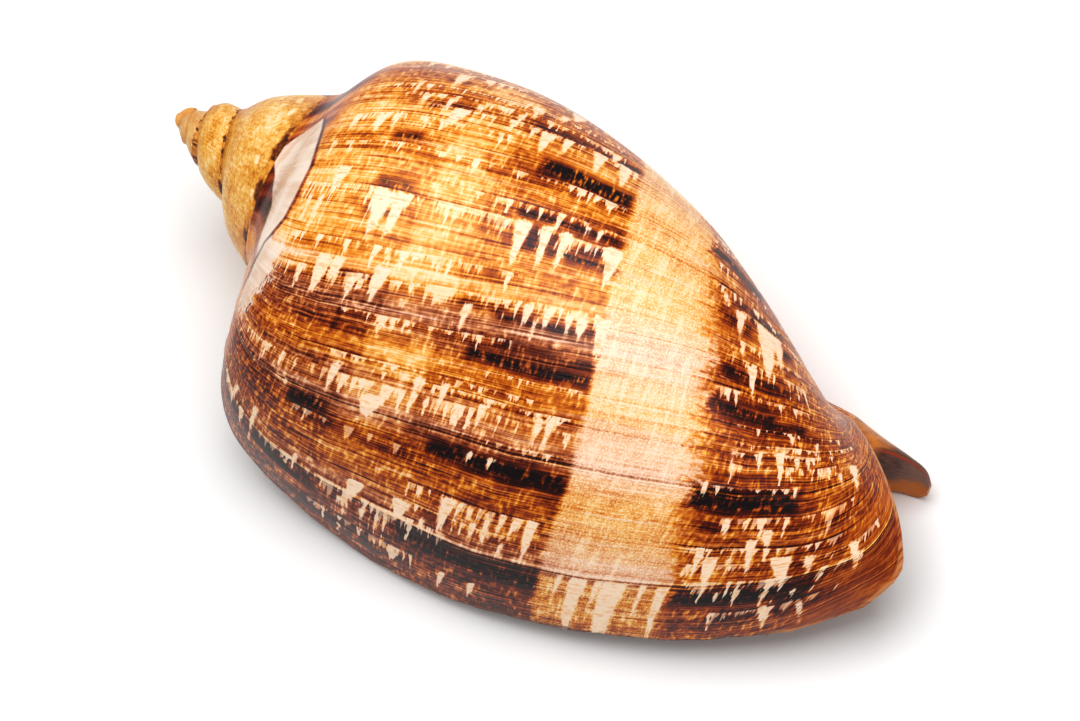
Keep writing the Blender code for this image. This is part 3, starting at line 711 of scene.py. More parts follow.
def add_rim(skin, outer, inner):
    """The rounded edge of the front rim, from the lip's corner to the notch."""
    stop = np.nonzero(inner.turn[:, -1] < NOTCH_TURN)[0][-1] + 2
    down = unit(inner.base[:stop, -1] - inner.base[:stop, -2]) * inner.by_notch[:stop]
    edge = moved_to(outer.lines, inner.lines[:stop], outer.points[:, -1])
    strip, share = through_wall(edge, inner.points[:stop, -1], down)
    skin.sheet(skin.add(strip, inner.lines[:stop], RIM_ROW, share), flip=True)


def add_tongue(skin):
    """The tongue at the column's end, with the hollow in its side and its flat end."""
    around = NOTCH_TURN + np.linspace(0.0, 1.0, TONGUE_POINTS)
    along = np.linspace(0.0, 1.0, TONGUE_RINGS)
    rings = np.array([tongue_ring(around, at) for at in along])
    at = along[:, None]
    dent = TONGUE_DENT
    for value, (begins, ends) in ((around, DENT_AROUND), (at, DENT_ALONG)):
        dent = dent * ease(value, *begins) * ease(value, *ends)
    rings = rings + (rings.mean(axis=1, keepdims=True) - rings) * dent[..., None]
    numbers = skin.add(rings, around, RIM_ROW + at, 0.5, tongue=1.0)
    skin.sheet(numbers, flip=True)
    end = skin.add(rings[-1].mean(axis=0)[None], TONGUE_TURN, RIM_ROW + 1.0, 0.5, tongue=1.0)
    ring = numbers[-1]
    return np.stack([ring[1:], ring[:-1], np.full(len(ring) - 1, end[0])], -1)


def add_back_wall(skin, inner):
    """The sheet that shuts the hollow at its deep end."""
    rows = np.interp(inner.rows, (0.0, RIM_ROW), (WALL_ROW, RIM_ROW))
    beside = surface(np.full_like(rows, 1.0 + inner.turn[-1, 0]), rows)
    shut, _ = through_wall(inner.points[-1], beside)
    skin.sheet(skin.add(shut, HOLLOW_TURNS, inner.rows, 1.0), flip=True)


def build_shell():
    """The whole visible shell as one mesh, in the coil's own axes."""
    skin = Skin()
    outer = add_outside(skin)
    add_covered_wall(skin)
    fan = add_spire(skin)
    inner = add_inside(skin)
    add_lip(skin, outer, inner)
    add_rim(skin, outer, inner)
    end = add_tongue(skin)
    add_back_wall(skin, inner)
    return skin, [fan, end]


def make_piece(name, skin, triangles):
    """The mesh object, turned to lie on its opening, with its growth map and its marks."""
    points = np.concatenate(skin.points) @ lying_axes().T
    facts = np.concatenate(skin.facts)
    points = (points + lying_offset()) * MM
    faces = np.concatenate(skin.faces).tolist() + np.concatenate(triangles).tolist()
    mesh = bpy.data.meshes.new(name)
    mesh.from_pydata(points.tolist(), [], faces)
    corner_vertex = np.empty(len(mesh.loops), int)
    mesh.loops.foreach_get("vertex_index", corner_vertex)
    chart = mesh.uv_layers.new(name="growth")
    uv = np.stack([facts[:, 1] / MAP_ROWS, facts[:, 0] / MAP_TURNS], -1)[corner_vertex]
    chart.data.foreach_set("uv", uv.ravel().astype(np.float32))
    for column, label in ((2, "inside"), (3, "tents"), (4, "bars"), (5, "tongue")):
        layer = mesh.attributes.new(label, "FLOAT", "POINT")
        layer.data.foreach_set("value", facts[:, column].astype(np.float32))
    mesh.shade_smooth()
    mesh.validate()
    piece = bpy.data.objects.new(name, mesh)
    bpy.context.scene.collection.objects.link(piece)
    return piece


def lying_offset():
    """Shift from the coil's apex, turned to lie, to the row frame, in millimetres."""
    total = round(COIL_TURNS * FIT_COLUMNS)
    sheet = Sheet(np.arange(total + 1) / FIT_COLUMNS, np.linspace(0.0, RIM_ROW, FIT_ROWS))
    age, row = sheet.growth, sheet.row
    last_whorl = age <= 1.0
    points = surface(age + lag(age, row) * last_whorl, row)[last_whorl | (row <= SEAM_ROW)]
    lying = points @ lying_axes().T
    low, high = (np.array(corner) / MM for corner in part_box("shell"))
    mine_low, mine_high = lying.min(axis=0), lying.max(axis=0)
    tip = lying_axes() @ sum(tip_cap())
    middle = 0.5 * (low + high) - 0.5 * (mine_low + mine_high)
    return np.array([low[0] - tip[0], middle[1], high[2] - mine_high[2]])


class Value:
    """The output of a node, with the sums that can be done on it."""

    def __init__(self, graph, socket):
        self.graph = graph
        self.socket = socket

    def __add__(self, other):
        return self.graph.math("ADD", self, other)

    def __sub__(self, other):
        return self.graph.math("SUBTRACT", self, other)

    def __rsub__(self, other):
        return self.graph.math("SUBTRACT", other, self)

    def __mul__(self, other):
        return self.graph.math("MULTIPLY", self, other)

    def __truediv__(self, other):
        return self.graph.math("DIVIDE", self, other)

    __radd__ = __add__
    __rmul__ = __mul__

    def clamped_sum(self, other=0.0):
        """The sum, held between 0 and 1."""
        return self.graph.math("ADD", self, other, clamp=True)

    def highest(self, other):
        """The greater of the two."""
        return self.graph.math("MAXIMUM", self, other)

    def floor(self):
        """The whole number below it."""
        return self.graph.math("FLOOR", self)

    def size(self):
        """Its distance from 0."""
        return self.graph.math("ABSOLUTE", self)

    def ease(self, low, high):
        """Ease from 0 at low to 1 at high."""
        node = self.graph.nodes.new("ShaderNodeMapRange")
        node.interpolation_type = "SMOOTHSTEP"
        for name, given in (("Value", self), ("From Min", low), ("From Max", high)):
            self.graph.feed(node.inputs[name], given)
        return Value(self.graph, node.outputs["Result"])

    def within(self, low, high, soft):
        """1 between low and high, easing to 0 over a soft edge outside them."""
        return self.ease(low - soft, low) * self.ease(high + soft, high)

    def ramp(self, stops, kind="LINEAR"):
        """Colour along a row of (place, colour) stops."""
        node = self.graph.nodes.new("ShaderNodeValToRGB")
        node.color_ramp.interpolation = kind
        elements = node.color_ramp.elements
        while len(elements) < len(stops):
            elements.new(1.0)
        for element, (place, colour) in zip(elements, stops):
            element.position = place
            element.color = colour
        self.graph.feed(node.inputs["Fac"], self)
        return Value(self.graph, node.outputs["Color"])

    def curve(self, span, stops, kind="LINEAR"):
        """Number along (place, number) stops, for places from 0 to span."""
        grey = [(place / span, (number, number, number, 1.0)) for place, number in stops]
        return (self / span).ramp(grey, kind)

    def row_curve(self, stops):
        """Row along (growth line, row) stops."""
        return self.curve(1.0, [(place, row / MAP_ROWS) for place, row in stops]) * MAP_ROWS


class Graph:
    """Builds a material's nodes from plain expressions."""

    def __init__(self, name):
        self.material = bpy.data.materials.new(name)
        self.material.use_nodes = True
        self.nodes = self.material.node_tree.nodes
        self.links = self.material.node_tree.links
        self.shader = self.nodes["Principled BSDF"]

    def feed(self, socket, value):
        """Link a value to a socket, or set it there."""
        if isinstance(value, Value):
            self.links.new(value.socket, socket)
        else:
            socket.default_value = value

    def math(self, operation, *values, clamp=False):
        """One sum."""
        node = self.nodes.new("ShaderNodeMath")
        node.operation = operation
        node.use_clamp = clamp
        for socket, value in zip(node.inputs, values):
            self.feed(socket, value)
        return Value(self, node.outputs[0])

    def place(self, x, y, z=0.0):
        """A place for a texture to be read at."""
        node = self.nodes.new("ShaderNodeCombineXYZ")
        for socket, value in zip(node.inputs, (x, y, z)):
            self.feed(socket, value)
        return node.outputs[0]

    def noise(self, x, y, detail, seed):
        """Wandering value about 0, at the pace of x and y."""
        node = self.nodes.new("ShaderNodeTexNoise")
        node.inputs["Scale"].default_value = 1.0
        node.inputs["Detail"].default_value = detail
        self.links.new(self.place(x, y, seed), node.inputs["Vector"])
        return Value(self, node.outputs["Fac"]) - 0.5

    def random(self, x, y):
        """Evenly spread number between 0 and 1 for each pair of whole numbers."""
        node = self.nodes.new("ShaderNodeTexWhiteNoise")
        node.noise_dimensions = "2D"
        self.links.new(self.place(x, y), node.inputs["Vector"])
        return Value(self, node.outputs["Value"])

    def mix(self, first, second, share):
        """Blend of two colours."""
        node = self.nodes.new("ShaderNodeMix")
        node.data_type = "RGBA"
        sockets = (node.inputs["Factor"], node.inputs[6], node.inputs[7])
        for socket, value in zip(sockets, (share, first, second)):
            self.feed(socket, value)
        return Value(self, node.outputs[2])

    def fact(self, name):
        """A number that the mesh holds at each vertex."""
        node = self.nodes.new("ShaderNodeAttribute")
        node.attribute_name = name
        return Value(self, node.outputs["Fac"])

    def chart(self, name):
        """Both coordinates of a map."""
        node = self.nodes.new("ShaderNodeUVMap")
        node.uv_map = name
        parts = self.nodes.new("ShaderNodeSeparateXYZ")
        self.links.new(node.outputs[0], parts.inputs[0])
        return Value(self, parts.outputs["X"]), Value(self, parts.outputs["Y"])

    def bump(self, height, distance, strength):
        """Fine relief, as a height between 0 and 1 times a distance in metres."""
        node = self.nodes.new("ShaderNodeBump")
        node.inputs["Distance"].default_value = distance
        node.inputs["Strength"].default_value = strength
        self.feed(node.inputs["Height"], height)
        self.links.new(node.outputs[0], self.shader.inputs["Normal"])


def display(red, green, blue):
    """Colour given as it shows on a screen, from 0 to 255."""
    parts = np.array([red, green, blue]) / 255.0
    linear = np.where(parts <= 0.04045, parts / 12.92, ((parts + 0.055) / 1.055) ** 2.4)
    return (*linear.tolist(), 1.0)


def shades(*stops):
    """Colours along a ramp, from (place, red, green, blue)."""
    return [(place, display(*colour)) for place, *colour in stops]


# The shell's colour from dark to light: where it is golden, where it is dull and rosy, and on
# the spire. Then the lining of the opening, deep inside and by the lip.
GOLDEN = shades((0.0, 30, 5, 2), (0.17, 88, 19, 0), (0.33, 144, 52, 3), (0.5, 194, 96, 12),
                (0.65, 227, 143, 38), (0.8, 241, 187, 96), (1.0, 250, 220, 176))
ROSY = shades((0.0, 28, 13, 10), (0.17, 80, 32, 18), (0.33, 128, 68, 44), (0.5, 176, 108, 78),
              (0.65, 214, 152, 118), (0.8, 236, 190, 158), (1.0, 248, 222, 198))
STRAW = shades((0.0, 40, 16, 4), (0.25, 124, 62, 10), (0.5, 206, 130, 28), (0.65, 228, 164, 54),
               (0.8, 240, 196, 104), (1.0, 250, 226, 184))
LINING = shades((0.0, 168, 88, 34), (0.5, 214, 134, 66), (1.0, 240, 180, 116))
LIP_LINING = shades((0.0, 88, 50, 34), (0.5, 138, 92, 66), (1.0, 196, 150, 112))
CREAM = display(250, 224, 196)
DULL_CREAM = display(242, 188, 132)
GLAZE = display(226, 192, 166)
PALE_GLAZE = display(244, 224, 206)
SOOT = display(14, 3, 5)
UMBER = display(84, 26, 6)
EDGE_BROWN = display(104, 60, 44)
EDGE_TAN = display(212, 142, 84)
TONGUE_TAN = display(212, 128, 44)
TONGUE_BROWN = display(150, 84, 36)
# Painted shade, a painted highlight and a painted glow of light along the lower edge, for the hollow in the
# tongue's side.
HOLLOW_PAINTED_SHADE = display(84, 50, 40)
HOLLOW_PAINTED_HIGHLIGHT = display(140, 100, 86)
HOLLOW_PAINTED_GLOW = display(206, 112, 20)
TONGUE_RIM = display(146, 52, 24)
TONGUE_OUTLINE = display(58, 26, 14)

# Tone of the shell by growth line, from 0, dark, to 1, light: left of the pale band, on it
# and right of it.
TONE_LEFT = (
    (0.0, 0.3), (0.055, 0.26), (0.063, 0.45), (0.072, 0.48), (0.09, 0.46), (0.103, 0.38), (0.14, 0.33),
    (0.149, 0.42), (0.16, 0.6), (0.188, 0.52), (0.203, 0.58), (0.21, 0.44), (0.228, 0.43), (0.24, 0.5),
    (0.248, 0.5), (0.261, 0.72), (0.28, 0.72), (0.3, 0.66), (0.342, 0.66), (0.356, 0.56), (0.37, 0.7),
    (0.386, 0.7), (0.4, 0.55), (0.42, 0.56),
)
TONE_ON_BAND = (
    (0.0, 0.55), (0.025, 0.62), (0.055, 0.64), (0.072, 0.78), (0.122, 0.74), (0.16, 0.87), (0.26, 0.88),
    (0.342, 0.8), (0.42, 0.8),
)
TONE_RIGHT = (
    (0.0, 0.3), (0.055, 0.28), (0.063, 0.4), (0.14, 0.34), (0.149, 0.42), (0.16, 0.44), (0.21, 0.36),
    (0.3, 0.48), (0.325, 0.46), (0.356, 0.38), (0.386, 0.44), (0.42, 0.4),
)
# How much lighter it is along the line of the seam.
TONE_SEAM = (
    (0.0, 0.0), (0.1, 0.02), (0.16, 0.12), (0.2, 0.18), (0.24, 0.06), (0.28, 0.16), (0.35, 0.14),
    (0.42, 0.06),
)
# How golden it is, from 0, rosy, to 1.
GOLD = (
    (0.0, 0.6), (0.025, 0.7), (0.055, 0.5), (0.063, 0.15), (0.072, 0.45), (0.103, 1.0), (0.122, 1.0),
    (0.14, 0.6), (0.149, 0.1), (0.16, 0.35), (0.176, 0.45), (0.188, 0.9), (0.203, 0.9), (0.228, 0.5),
    (0.238, 0.15), (0.28, 1.0), (0.342, 1.0), (0.4, 0.8), (0.42, 0.9),
)
# Past the side that shows, the tones of an earlier stretch come back again and again.
TONES_END = 0.42
TONES_REPEAT = 0.22
# Added before rounding down, to round up any part of a repeat.
ALMOST_ONE = 0.9999

# Rows of the pale band's two edges, by growth line.
BAND_LEFT = (
    (0.0, 5.65), (0.06, 5.6), (0.12, 5.54), (0.2, 5.4), (0.28, 5.28), (0.36, 5.18), (0.5, 5.05),
    (1.0, 4.9),
)
BAND_RIGHT = (
    (0.0, 6.85), (0.06, 6.75), (0.15, 6.5), (0.25, 6.3), (0.37, 6.0), (0.5, 5.85), (1.0, 5.7),
)
# Rows of the smooth glaze's two edges below the seam, and the tone around it, by growth line.
GLAZE_TOP = (
    (0.0, 1.9), (0.2, 1.9), (0.26, 1.55), (0.285, 1.4), (0.3, 1.0), (0.32, 0.7), (0.345, 0.0), (1.0, 0.0),
)
GLAZE_FOOT = (
    (0.0, 1.9), (0.2, 1.75), (0.26, 1.8), (0.285, 2.0), (0.3, 2.02), (0.33, 1.96), (0.345, 1.85),
    (0.372, 1.65), (0.4, 1.35), (1.0, 1.35),
)
TONE_BY_GLAZE = (
    (0.0, 0.42), (0.08, 0.4), (0.16, 0.66), (0.22, 0.64), (0.25, 0.36), (0.262, 0.44), (0.272, 0.04),
    (0.284, 0.06), (0.295, 0.32), (0.306, 0.12), (0.318, 0.36), (0.332, 0.1), (0.345, 0.5), (0.372, 0.5),
    (0.382, 0.22), (0.392, 0.55), (0.402, 0.36), (0.412, 0.66), (0.424, 0.5), (0.432, 0.12), (0.45, 0.16),
    (0.47, 0.46), (0.5, 0.5), (0.6, 0.4), (0.7, 0.55), (0.8, 0.42), (0.9, 0.52), (1.0, 0.45),
)

# Rows of small pale teeth: (growth of their foot and their height in thousandths of a turn,
# first and last row on the left, first and last row on the right).
TEETH = (
    (34, 18, 3.4, 4.3, 7.0, 8.2), (67, 22, 2.2, 4.7, 6.9, 8.3), (82, 12, 4.3, 5.4, 6.9, 8.4),
    (98, 14, 4.2, 5.5, 6.8, 8.3), (127, 16, 3.2, 4.0, 6.8, 7.9), (152, 8, 4.6, 5.4, 6.8, 7.4),
    (173, 22, 2.2, 5.4, 6.6, 7.9), (183, 8, 3.6, 5.4, 6.6, 7.9), (192, 9, 3.2, 5.3, 6.8, 8.0),
    (205, 8, 4.4, 5.35, 6.6, 7.8), (232, 10, 3.3, 4.6, 6.5, 7.6), (262, 17, 2.4, 5.3, 6.4, 7.4),
    (280, 12, 2.3, 4.5, 6.4, 7.4), (314, 16, 2.2, 5.2, 6.2, 7.1), (328, 11, 3.9, 5.2, 6.2, 7.2),
    (352, 9, 2.2, 5.1, 6.1, 7.4), (380, 12, 2.2, 3.9, 6.0, 7.4), (395, 13, 2.9, 5.1, 6.0, 7.4),
    (408, 11, 2.6, 5.0, 6.0, 7.4), (420, 10, 2.6, 5.0, 6.0, 7.4),
)
# Growth that the rows of teeth take up, and how far past its foot a row still counts, in
# turns. Then the teeth's spacing in rows, and how far they lean on the right side.
TEETH_SPAN = 0.5
FOOT_LINE = 0.0015
TOOTH_SPACING = 0.1
TOOTH_LEAN = 0.35

# Thin lines along the growth lines: (growth and half thickness in ten-thousandths of a turn,
# change of tone).
FINE_LINES = (
    (606, 9, -0.42), (630, 9, 0.3), (582, 7, -0.24), (985, 7, -0.16), (1155, 6, -0.14), (1452, 8, 0.22),
    (1470, 10, -0.32), (1500, 7, -0.16), (1790, 8, -0.18), (1925, 6, -0.12), (2330, 6, -0.16),
    (2400, 6, -0.14), (2540, 6, -0.16), (3285, 8, -0.2), (3440, 6, -0.14), (3970, 9, -0.22),
)
LINE_PARTS = 10000.0


class Glaze(Graph):
    """The shell's material, with the places and the wandering values that its marks share."""

    def __init__(self, name):
        super().__init__(name)
        across, along = self.chart("growth")
        self.row = across * MAP_ROWS
        self.growth = along * MAP_TURNS
        past = (self.growth - TONES_END).highest(0.0)
        laps = (past / TONES_REPEAT + ALMOST_ONE).floor()
        self.folded = self.growth - laps * TONES_REPEAT
        self.fine_lines = self.wander(1.1, 680.0, 1.0, 1.0)
        self.lines = self.wander(0.7, 170.0, 2.0, 2.0)
        self.threads = self.wander(30.0, 100.0, 1.0, 3.0)
        self.cells = self.wander(13.0, 300.0, 1.0, 4.0)
        self.blots = self.wander(5.0, 75.0, 2.0, 5.0)
        self.patches = self.wander(2.0, 24.0, 2.0, 6.0)
        self.streaks = self.wander(12.0, 30.0, 2.0, 7.0)
        self.left_edge = self.growth.row_curve(BAND_LEFT)
        self.right_edge = self.growth.row_curve(BAND_RIGHT)

    def wander(self, row_pace, growth_pace, detail, seed):
        """Wandering value about 0, at those paces by row and by growth line."""
        return self.noise(self.row * row_pace, self.growth * growth_pace, detail, seed)


def band_shares(graph):
    """How far a point is past the pale band's left edge, and past its ragged right edge."""
    ragged = graph.fine_lines * 0.07 + graph.lines * 0.08
    on_band = (graph.row + ragged).ease(graph.left_edge - 0.02, graph.left_edge + 0.05)
    torn = graph.row + ragged * 2.0 + graph.cells * 0.5 + graph.blots * 0.5
    off_band = torn.ease(graph.right_edge - 0.16, graph.right_edge + 0.12)
    return ragged, on_band, off_band


def base_tones(graph, ragged, on_band, off_band):
    """Tone and gold by growth line, left of the band, on it and right of it."""
    row, growth, folded = graph.row, graph.growth, graph.folded
    left, pale, right, gold = (
        folded.curve(TONES_END, stops) for stops in (TONE_LEFT, TONE_ON_BAND, TONE_RIGHT, GOLD))
    # Darker in the upper rows near the lip, as painted shade, and lighter along the line of the seam.
    left = left - row.within(2.1, 3.42, 0.12) * growth.within(0.05, 0.245, 0.012) * 0.12
    left = left + (row + ragged).within(3.53, 3.95, 0.07) * folded.curve(TONES_END, TONE_SEAM)
    # A little lighter away from the lip and in the upper rows there, and darker beside the band.
    left = left + growth.ease(0.06, 0.16) * 0.045
    left = left + row.ease(3.4, 2.2) * growth.ease(0.27, 0.30) * 0.05
    left = left - row.within(4.0, 6.0, 0.6) * growth.within(0.275, 0.42, 0.01) * 0.12
    tone = left + (pale - left) * on_band
    tone = tone + (right + 0.03 - tone) * off_band
    # The lip's last stretch is darker, all but its front corner.
    tone = tone - growth.ease(0.06, 0.03) * row.ease(8.4, 7.6) * 0.05
    return tone, gold + 0.15 + (0.95 - gold) * off_band


def band_grain(graph, tone, band):
    """The tone with the pale band's own grains and fringes."""
    grains = graph.wander(62.0, 620.0, 1.0, 15.0)
    fringes = graph.wander(20.0, 30.0, 1.0, 16.0)
    return tone + band * (grains.ease(-0.04, 0.14) * 0.20 + fringes.ease(0.0, 0.2) * 0.12 - 0.05)


def fine_net(graph, tone, level, band):
    """The tone with the fine net, the combed strokes of the upper rows and the crisp hairs."""
    row, growth, fine_lines, lines = graph.row, graph.growth, graph.fine_lines, graph.lines
    threads, cells, blots = graph.threads, graph.cells, graph.blots
    calm = 1.0 - band * 0.55 * growth.ease(0.05, 0.064)
    dashes = (cells + fine_lines * 0.8).ease(-0.14, 0.16) - 0.5
    ticks = (threads + blots * 0.5).ease(0.05, 0.22)
    strokes = (graph.wander(26.0, 22.0, 1.0, 19.0) + cells * 0.3).ease(0.02, 0.16)
    combed = growth.within(0.075, 0.175, 0.02) + growth.ease(0.045, 0.03) * 0.8
    strokes = strokes * row.ease(3.5, 3.0) * combed
    # The net is plainer at the front corner.
    plain = 1.0 - row.ease(7.7, 8.4) * growth.ease(0.13, 0.06) * 0.65
    net = dashes * 0.22 + blots * 0.55 + threads * 0.45 + ticks * 0.18
    net = net * plain + fine_lines * 0.38 + lines * 0.40
    tone = tone + net * calm * (1.2 - level * 0.75)
    tone = tone + graph.patches * 0.30 + graph.streaks * 0.15 + strokes * 0.2
    hairs = graph.wander(0.45, 430.0, 1.0, 18.0)
    return tone + (hairs.ease(-0.11, -0.17) * 0.14 - hairs.ease(0.10, 0.16) * 0.20) * calm


def thin_lines(graph, tone, band):
    """The tone with the thin lines along the growth lines, and one short mark across them."""
    for place, half, change in FINE_LINES:
        half = half / LINE_PARTS
        off = (graph.folded - place / LINE_PARTS + graph.lines * 0.0006).size()
        line = off.ease(half * 1.6, half * 0.5) * (change + graph.threads * 0.3)
        tone = tone + line * (1.0 - band * 0.35)
    return tone - graph.row.within(3.20, 3.22, 0.025) * graph.growth.within(0.208, 0.232, 0.006) * 0.22


def next_foot(part):
    """Stops that give, up to each foot's growth line, a number of that row of teeth."""
    stops = []
    start = 0.0
    for teeth_row in TEETH:
        stops.append((start, teeth_row[part] / (TURN_PARTS if part < 2 else MAP_ROWS)))
        start = teeth_row[0] / TURN_PARTS + FOOT_LINE
    return stops


def teeth(graph):
    """Rows of small teeth: how far a point is in one, and in the dark strip between them."""
    row, growth = graph.row, graph.folded
    foot, height, first, last, first_right, last_right = (
        growth.curve(TEETH_SPAN, next_foot(part), "CONSTANT") for part in range(6))
    # How far up a tooth the point is, and which tooth of the row it is in.
    sway = graph.noise(row * 1.4, foot * 70.0, 1.0, 2.0) * 0.006
    up = (foot - growth + sway) / height
    leaning = row.ease(5.6, 7.2) * TOOTH_LEAN
    across = row / TOOTH_SPACING - up * leaning + foot * 91.0
    across = across + graph.noise(row * 4.0, foot * 90.0, 1.0, 5.0) * 3.0
    cell = across.floor()
    place = (foot * TURN_PARTS).floor()
    luck = graph.random(cell, place)
    # Each tooth has its own reach and width, and the lucky ones are long.
    beside = (across - cell - 0.5).size()
    reach = 0.15 + luck * luck * 1.5
    half = (1.0 - up / reach) * (0.20 + graph.random(place, cell) * 0.34)
    rough = graph.noise(row * 45.0, growth * 160.0, 0.0, 8.0)
    tooth = (half - beside + rough * 0.5).ease(-0.06, 0.14)
    # Between the teeth a comb of finer and uneven ones.
    comb = graph.noise(row * 24.0, foot * 137.0, 1.0, 13.0) * 2.6
    comb = comb + graph.noise(row * 3.5, foot * 91.0, 1.0, 14.0) * 2.2
    comb = (comb + 0.30 - up).ease(0.0, 0.35) * 0.75
    tooth = (tooth * (0.35 + 0.65 * (luck + rough).ease(0.25, 0.75))).highest(comb)
    tooth = tooth * up.ease(0.0, 0.08)
    # Where the rows of teeth begin and end on both sides of the band.
    shaky = row + graph.noise(row * 1.3, foot * 300.0, 1.0, 8.0) * 1.2
    on_left = shaky.within(first * MAP_ROWS, last * MAP_ROWS, 0.08)
    on_left = on_left * row.ease(graph.left_edge, graph.left_edge - 0.05)
    on_right = shaky.within(first_right * MAP_ROWS, last_right * MAP_ROWS, 0.08)
    where = on_left + on_right * row.ease(graph.right_edge - 0.1, graph.right_edge + 0.1)
    strip = (up + rough * 0.6).within(0.05, 0.70, 0.25)
    return tooth * where, strip * where


def dark_bars(graph, tone):
    """The tone with a dark halo round the bars, and how sooty a point is."""
    bars, threads, lines = graph.fact("bars"), graph.threads, graph.lines
    jag = threads * 1.8 + graph.cells * 2.6 + lines * 2.4
    halo = (bars + jag * 1.3).ease(-1.6, 0.2)
    soot = (bars + jag + lines).ease(-0.1, 1.1) * (threads + graph.blots * 0.6 + lines * 0.5).ease(0.22, 0.0)
    return tone - halo * 0.28, soot


def pale_tents(graph, tone):
    """The tone with a light rim round the tents, and how far a point is in one."""
    edge = graph.wander(40.0, 70.0, 1.0, 9.0) * 1.2 + graph.cells * 0.6
    ragged = graph.fact("tents") + edge
    return tone + ragged.ease(-0.7, 0.1) * 0.22, ragged.ease(-0.15, 0.20)


def spire_tones(graph):
    """Tone and gold of the whorls of the spire."""
    row, growth = graph.row, graph.growth
    broad = graph.wander(0.9, 9.0, 2.0, 3.0)
    cells = graph.wander(5.0, 60.0, 1.0, 4.0)
    lines = graph.wander(0.8, 150.0, 1.0, 6.0)
    specks = graph.wander(13.0, 170.0, 1.0, 17.0)
    below = row.ease(0.2, 2.6)
    tone = 0.50 + below * 0.17 + broad * 0.75 + cells * 0.45 + lines * 0.35 + specks * 0.6
    older = growth.ease(2.6, 3.6)
    tone = tone + (0.66 - tone) * older * 0.6
    # Dark dashes along both seams, and pale patches low on each whorl.
    seam_wave = graph.wander(1.5, 26.0, 2.0, 11.0)
    seam_line = ((row + seam_wave * 0.5).ease(3.74, 3.92) + row.ease(0.18, 0.05)) * growth.ease(4.2, 3.8)
    tone = tone + 0.05 + older * 0.01 - seam_line * (0.12 + seam_wave.ease(-0.03, 0.09) * 0.46)
    pale = graph.wander(3.0, 26.0, 1.0, 12.0).ease(0.12, 0.24) * row.ease(2.2, 3.0)
    return tone + pale * 0.28, 0.95 - older * 0.62 + broad * 0.5 - pale * 0.3


def upper_glaze(graph):
    """The smooth glaze below the seam: where it lies, its dark edge line, and the tone by it."""
    row, growth, threads = graph.row, graph.growth, graph.threads
    top, foot = growth.row_curve(GLAZE_TOP), growth.row_curve(GLAZE_FOOT)
    crescent = row.ease(top - 0.08, top + 0.05) * row.ease(foot, foot - 0.05)
    fades = (growth - row * 0.02 + threads * 0.006).ease(0.374, 0.369)
    crescent = crescent * growth.within(0.262, 1.0, 0.03) * fades
    # A patch of it goes on below the crescent, nearer to the lip.
    far_edge = 2.24 - growth.ease(0.25, 0.17) * 0.18
    patch = (row + threads * 0.5).ease(far_edge + 0.05, far_edge - 0.04)
    patch = patch * (growth + threads * 0.03).within(0.175, 0.262, 0.012)
    patch = patch * row.ease(foot - 0.02, foot + 0.05)
    line = (row - foot).size().ease(0.07, 0.02) * growth.within(0.2, 0.385, 0.02)
    return crescent.highest(patch), line, growth.curve(1.0, TONE_BY_GLAZE)


def inner_colour(graph):
    """The lining of the opening and the column: orange-tan, dull brown towards the lip."""
    streaks, lines = graph.streaks, graph.lines
    depth = (graph.growth + streaks * 0.06).ease(0.0, 0.14)
    glow = (0.5 + streaks * 1.2).clamped_sum(lines * 0.4).ramp(LINING)
    edge = (0.5 + streaks).clamped_sum(lines * 0.8).ramp(LIP_LINING)
    return graph.mix(edge, glow, depth)


def tongue_colour(graph):
    """The column's end: orange-tan, with a dark grey-brown hollow in its side, painted with shade, a
    highlight and a glow of light along its lower edge.
    """
    row, around, streaks = graph.row, graph.growth, graph.streaks
    tan = graph.mix(TONGUE_TAN, TONGUE_BROWN, (streaks * 2.0).clamped_sum(0.5))
    # In the hollow, painted shade turns to a painted highlight along the tongue, with a painted glow of
    # light on its lower edge.
    dark = graph.mix(HOLLOW_PAINTED_SHADE, HOLLOW_PAINTED_HIGHLIGHT, (row + streaks * 0.6).ease(9.35, 9.75))
    shadow = (around + (9.6 - row) * 0.5 + streaks * 0.4).ease(0.98, 1.20)
    dark = graph.mix(HOLLOW_PAINTED_GLOW, dark, shadow)
    hollow = around.ease(0.82, 0.9) * around.ease(1.53, 1.51) * row.ease(9.3, 9.42)
    colour = graph.mix(tan, dark, hollow)
    rim = around.within(1.497, 1.507, 0.012) * row.ease(9.3, 9.5)
    colour = graph.mix(colour, TONGUE_RIM, rim)
    outline = around.ease(1.51, 1.52) * row.ease(9.35, 9.5)
    return graph.mix(colour, TONGUE_OUTLINE, outline * 0.85)


def outer_colour(graph, tone, gold, on_spire):
    """The outside's colour by its tone, from 0, dark, to 1, and by how golden it is."""
    rosy_lines = (graph.lines + graph.fine_lines * 0.5).ease(0.06, 0.2) * 0.4
    gold = gold.clamped_sum(graph.patches * 0.5 - rosy_lines)
    tone = tone.clamped_sum()
    colour = graph.mix(tone.ramp(ROSY), tone.ramp(GOLDEN), gold)
    return graph.mix(colour, tone.ramp(STRAW), on_spire * (0.5 + graph.growth.ease(3.6, 2.8) * 0.2))


def marked_colour(graph, colour, soot, pale_mark, glaze):
    """The colour with the soot of the bars, the pale marks and the smooth glaze over it."""
    cells, lines = graph.cells, graph.lines
    sooty = graph.mix(SOOT, UMBER, (cells + graph.threads).ease(0.02, 0.26))
    colour = graph.mix(colour, sooty, soot)
    cream = graph.mix(CREAM, DULL_CREAM, (cells + graph.fine_lines).ease(-0.02, 0.3))
    colour = graph.mix(colour, cream, pale_mark)
    smooth_glaze = graph.mix(GLAZE, PALE_GLAZE, (graph.patches + lines * 0.4).ease(-0.15, 0.15))
    return graph.mix(colour, smooth_glaze, glaze)


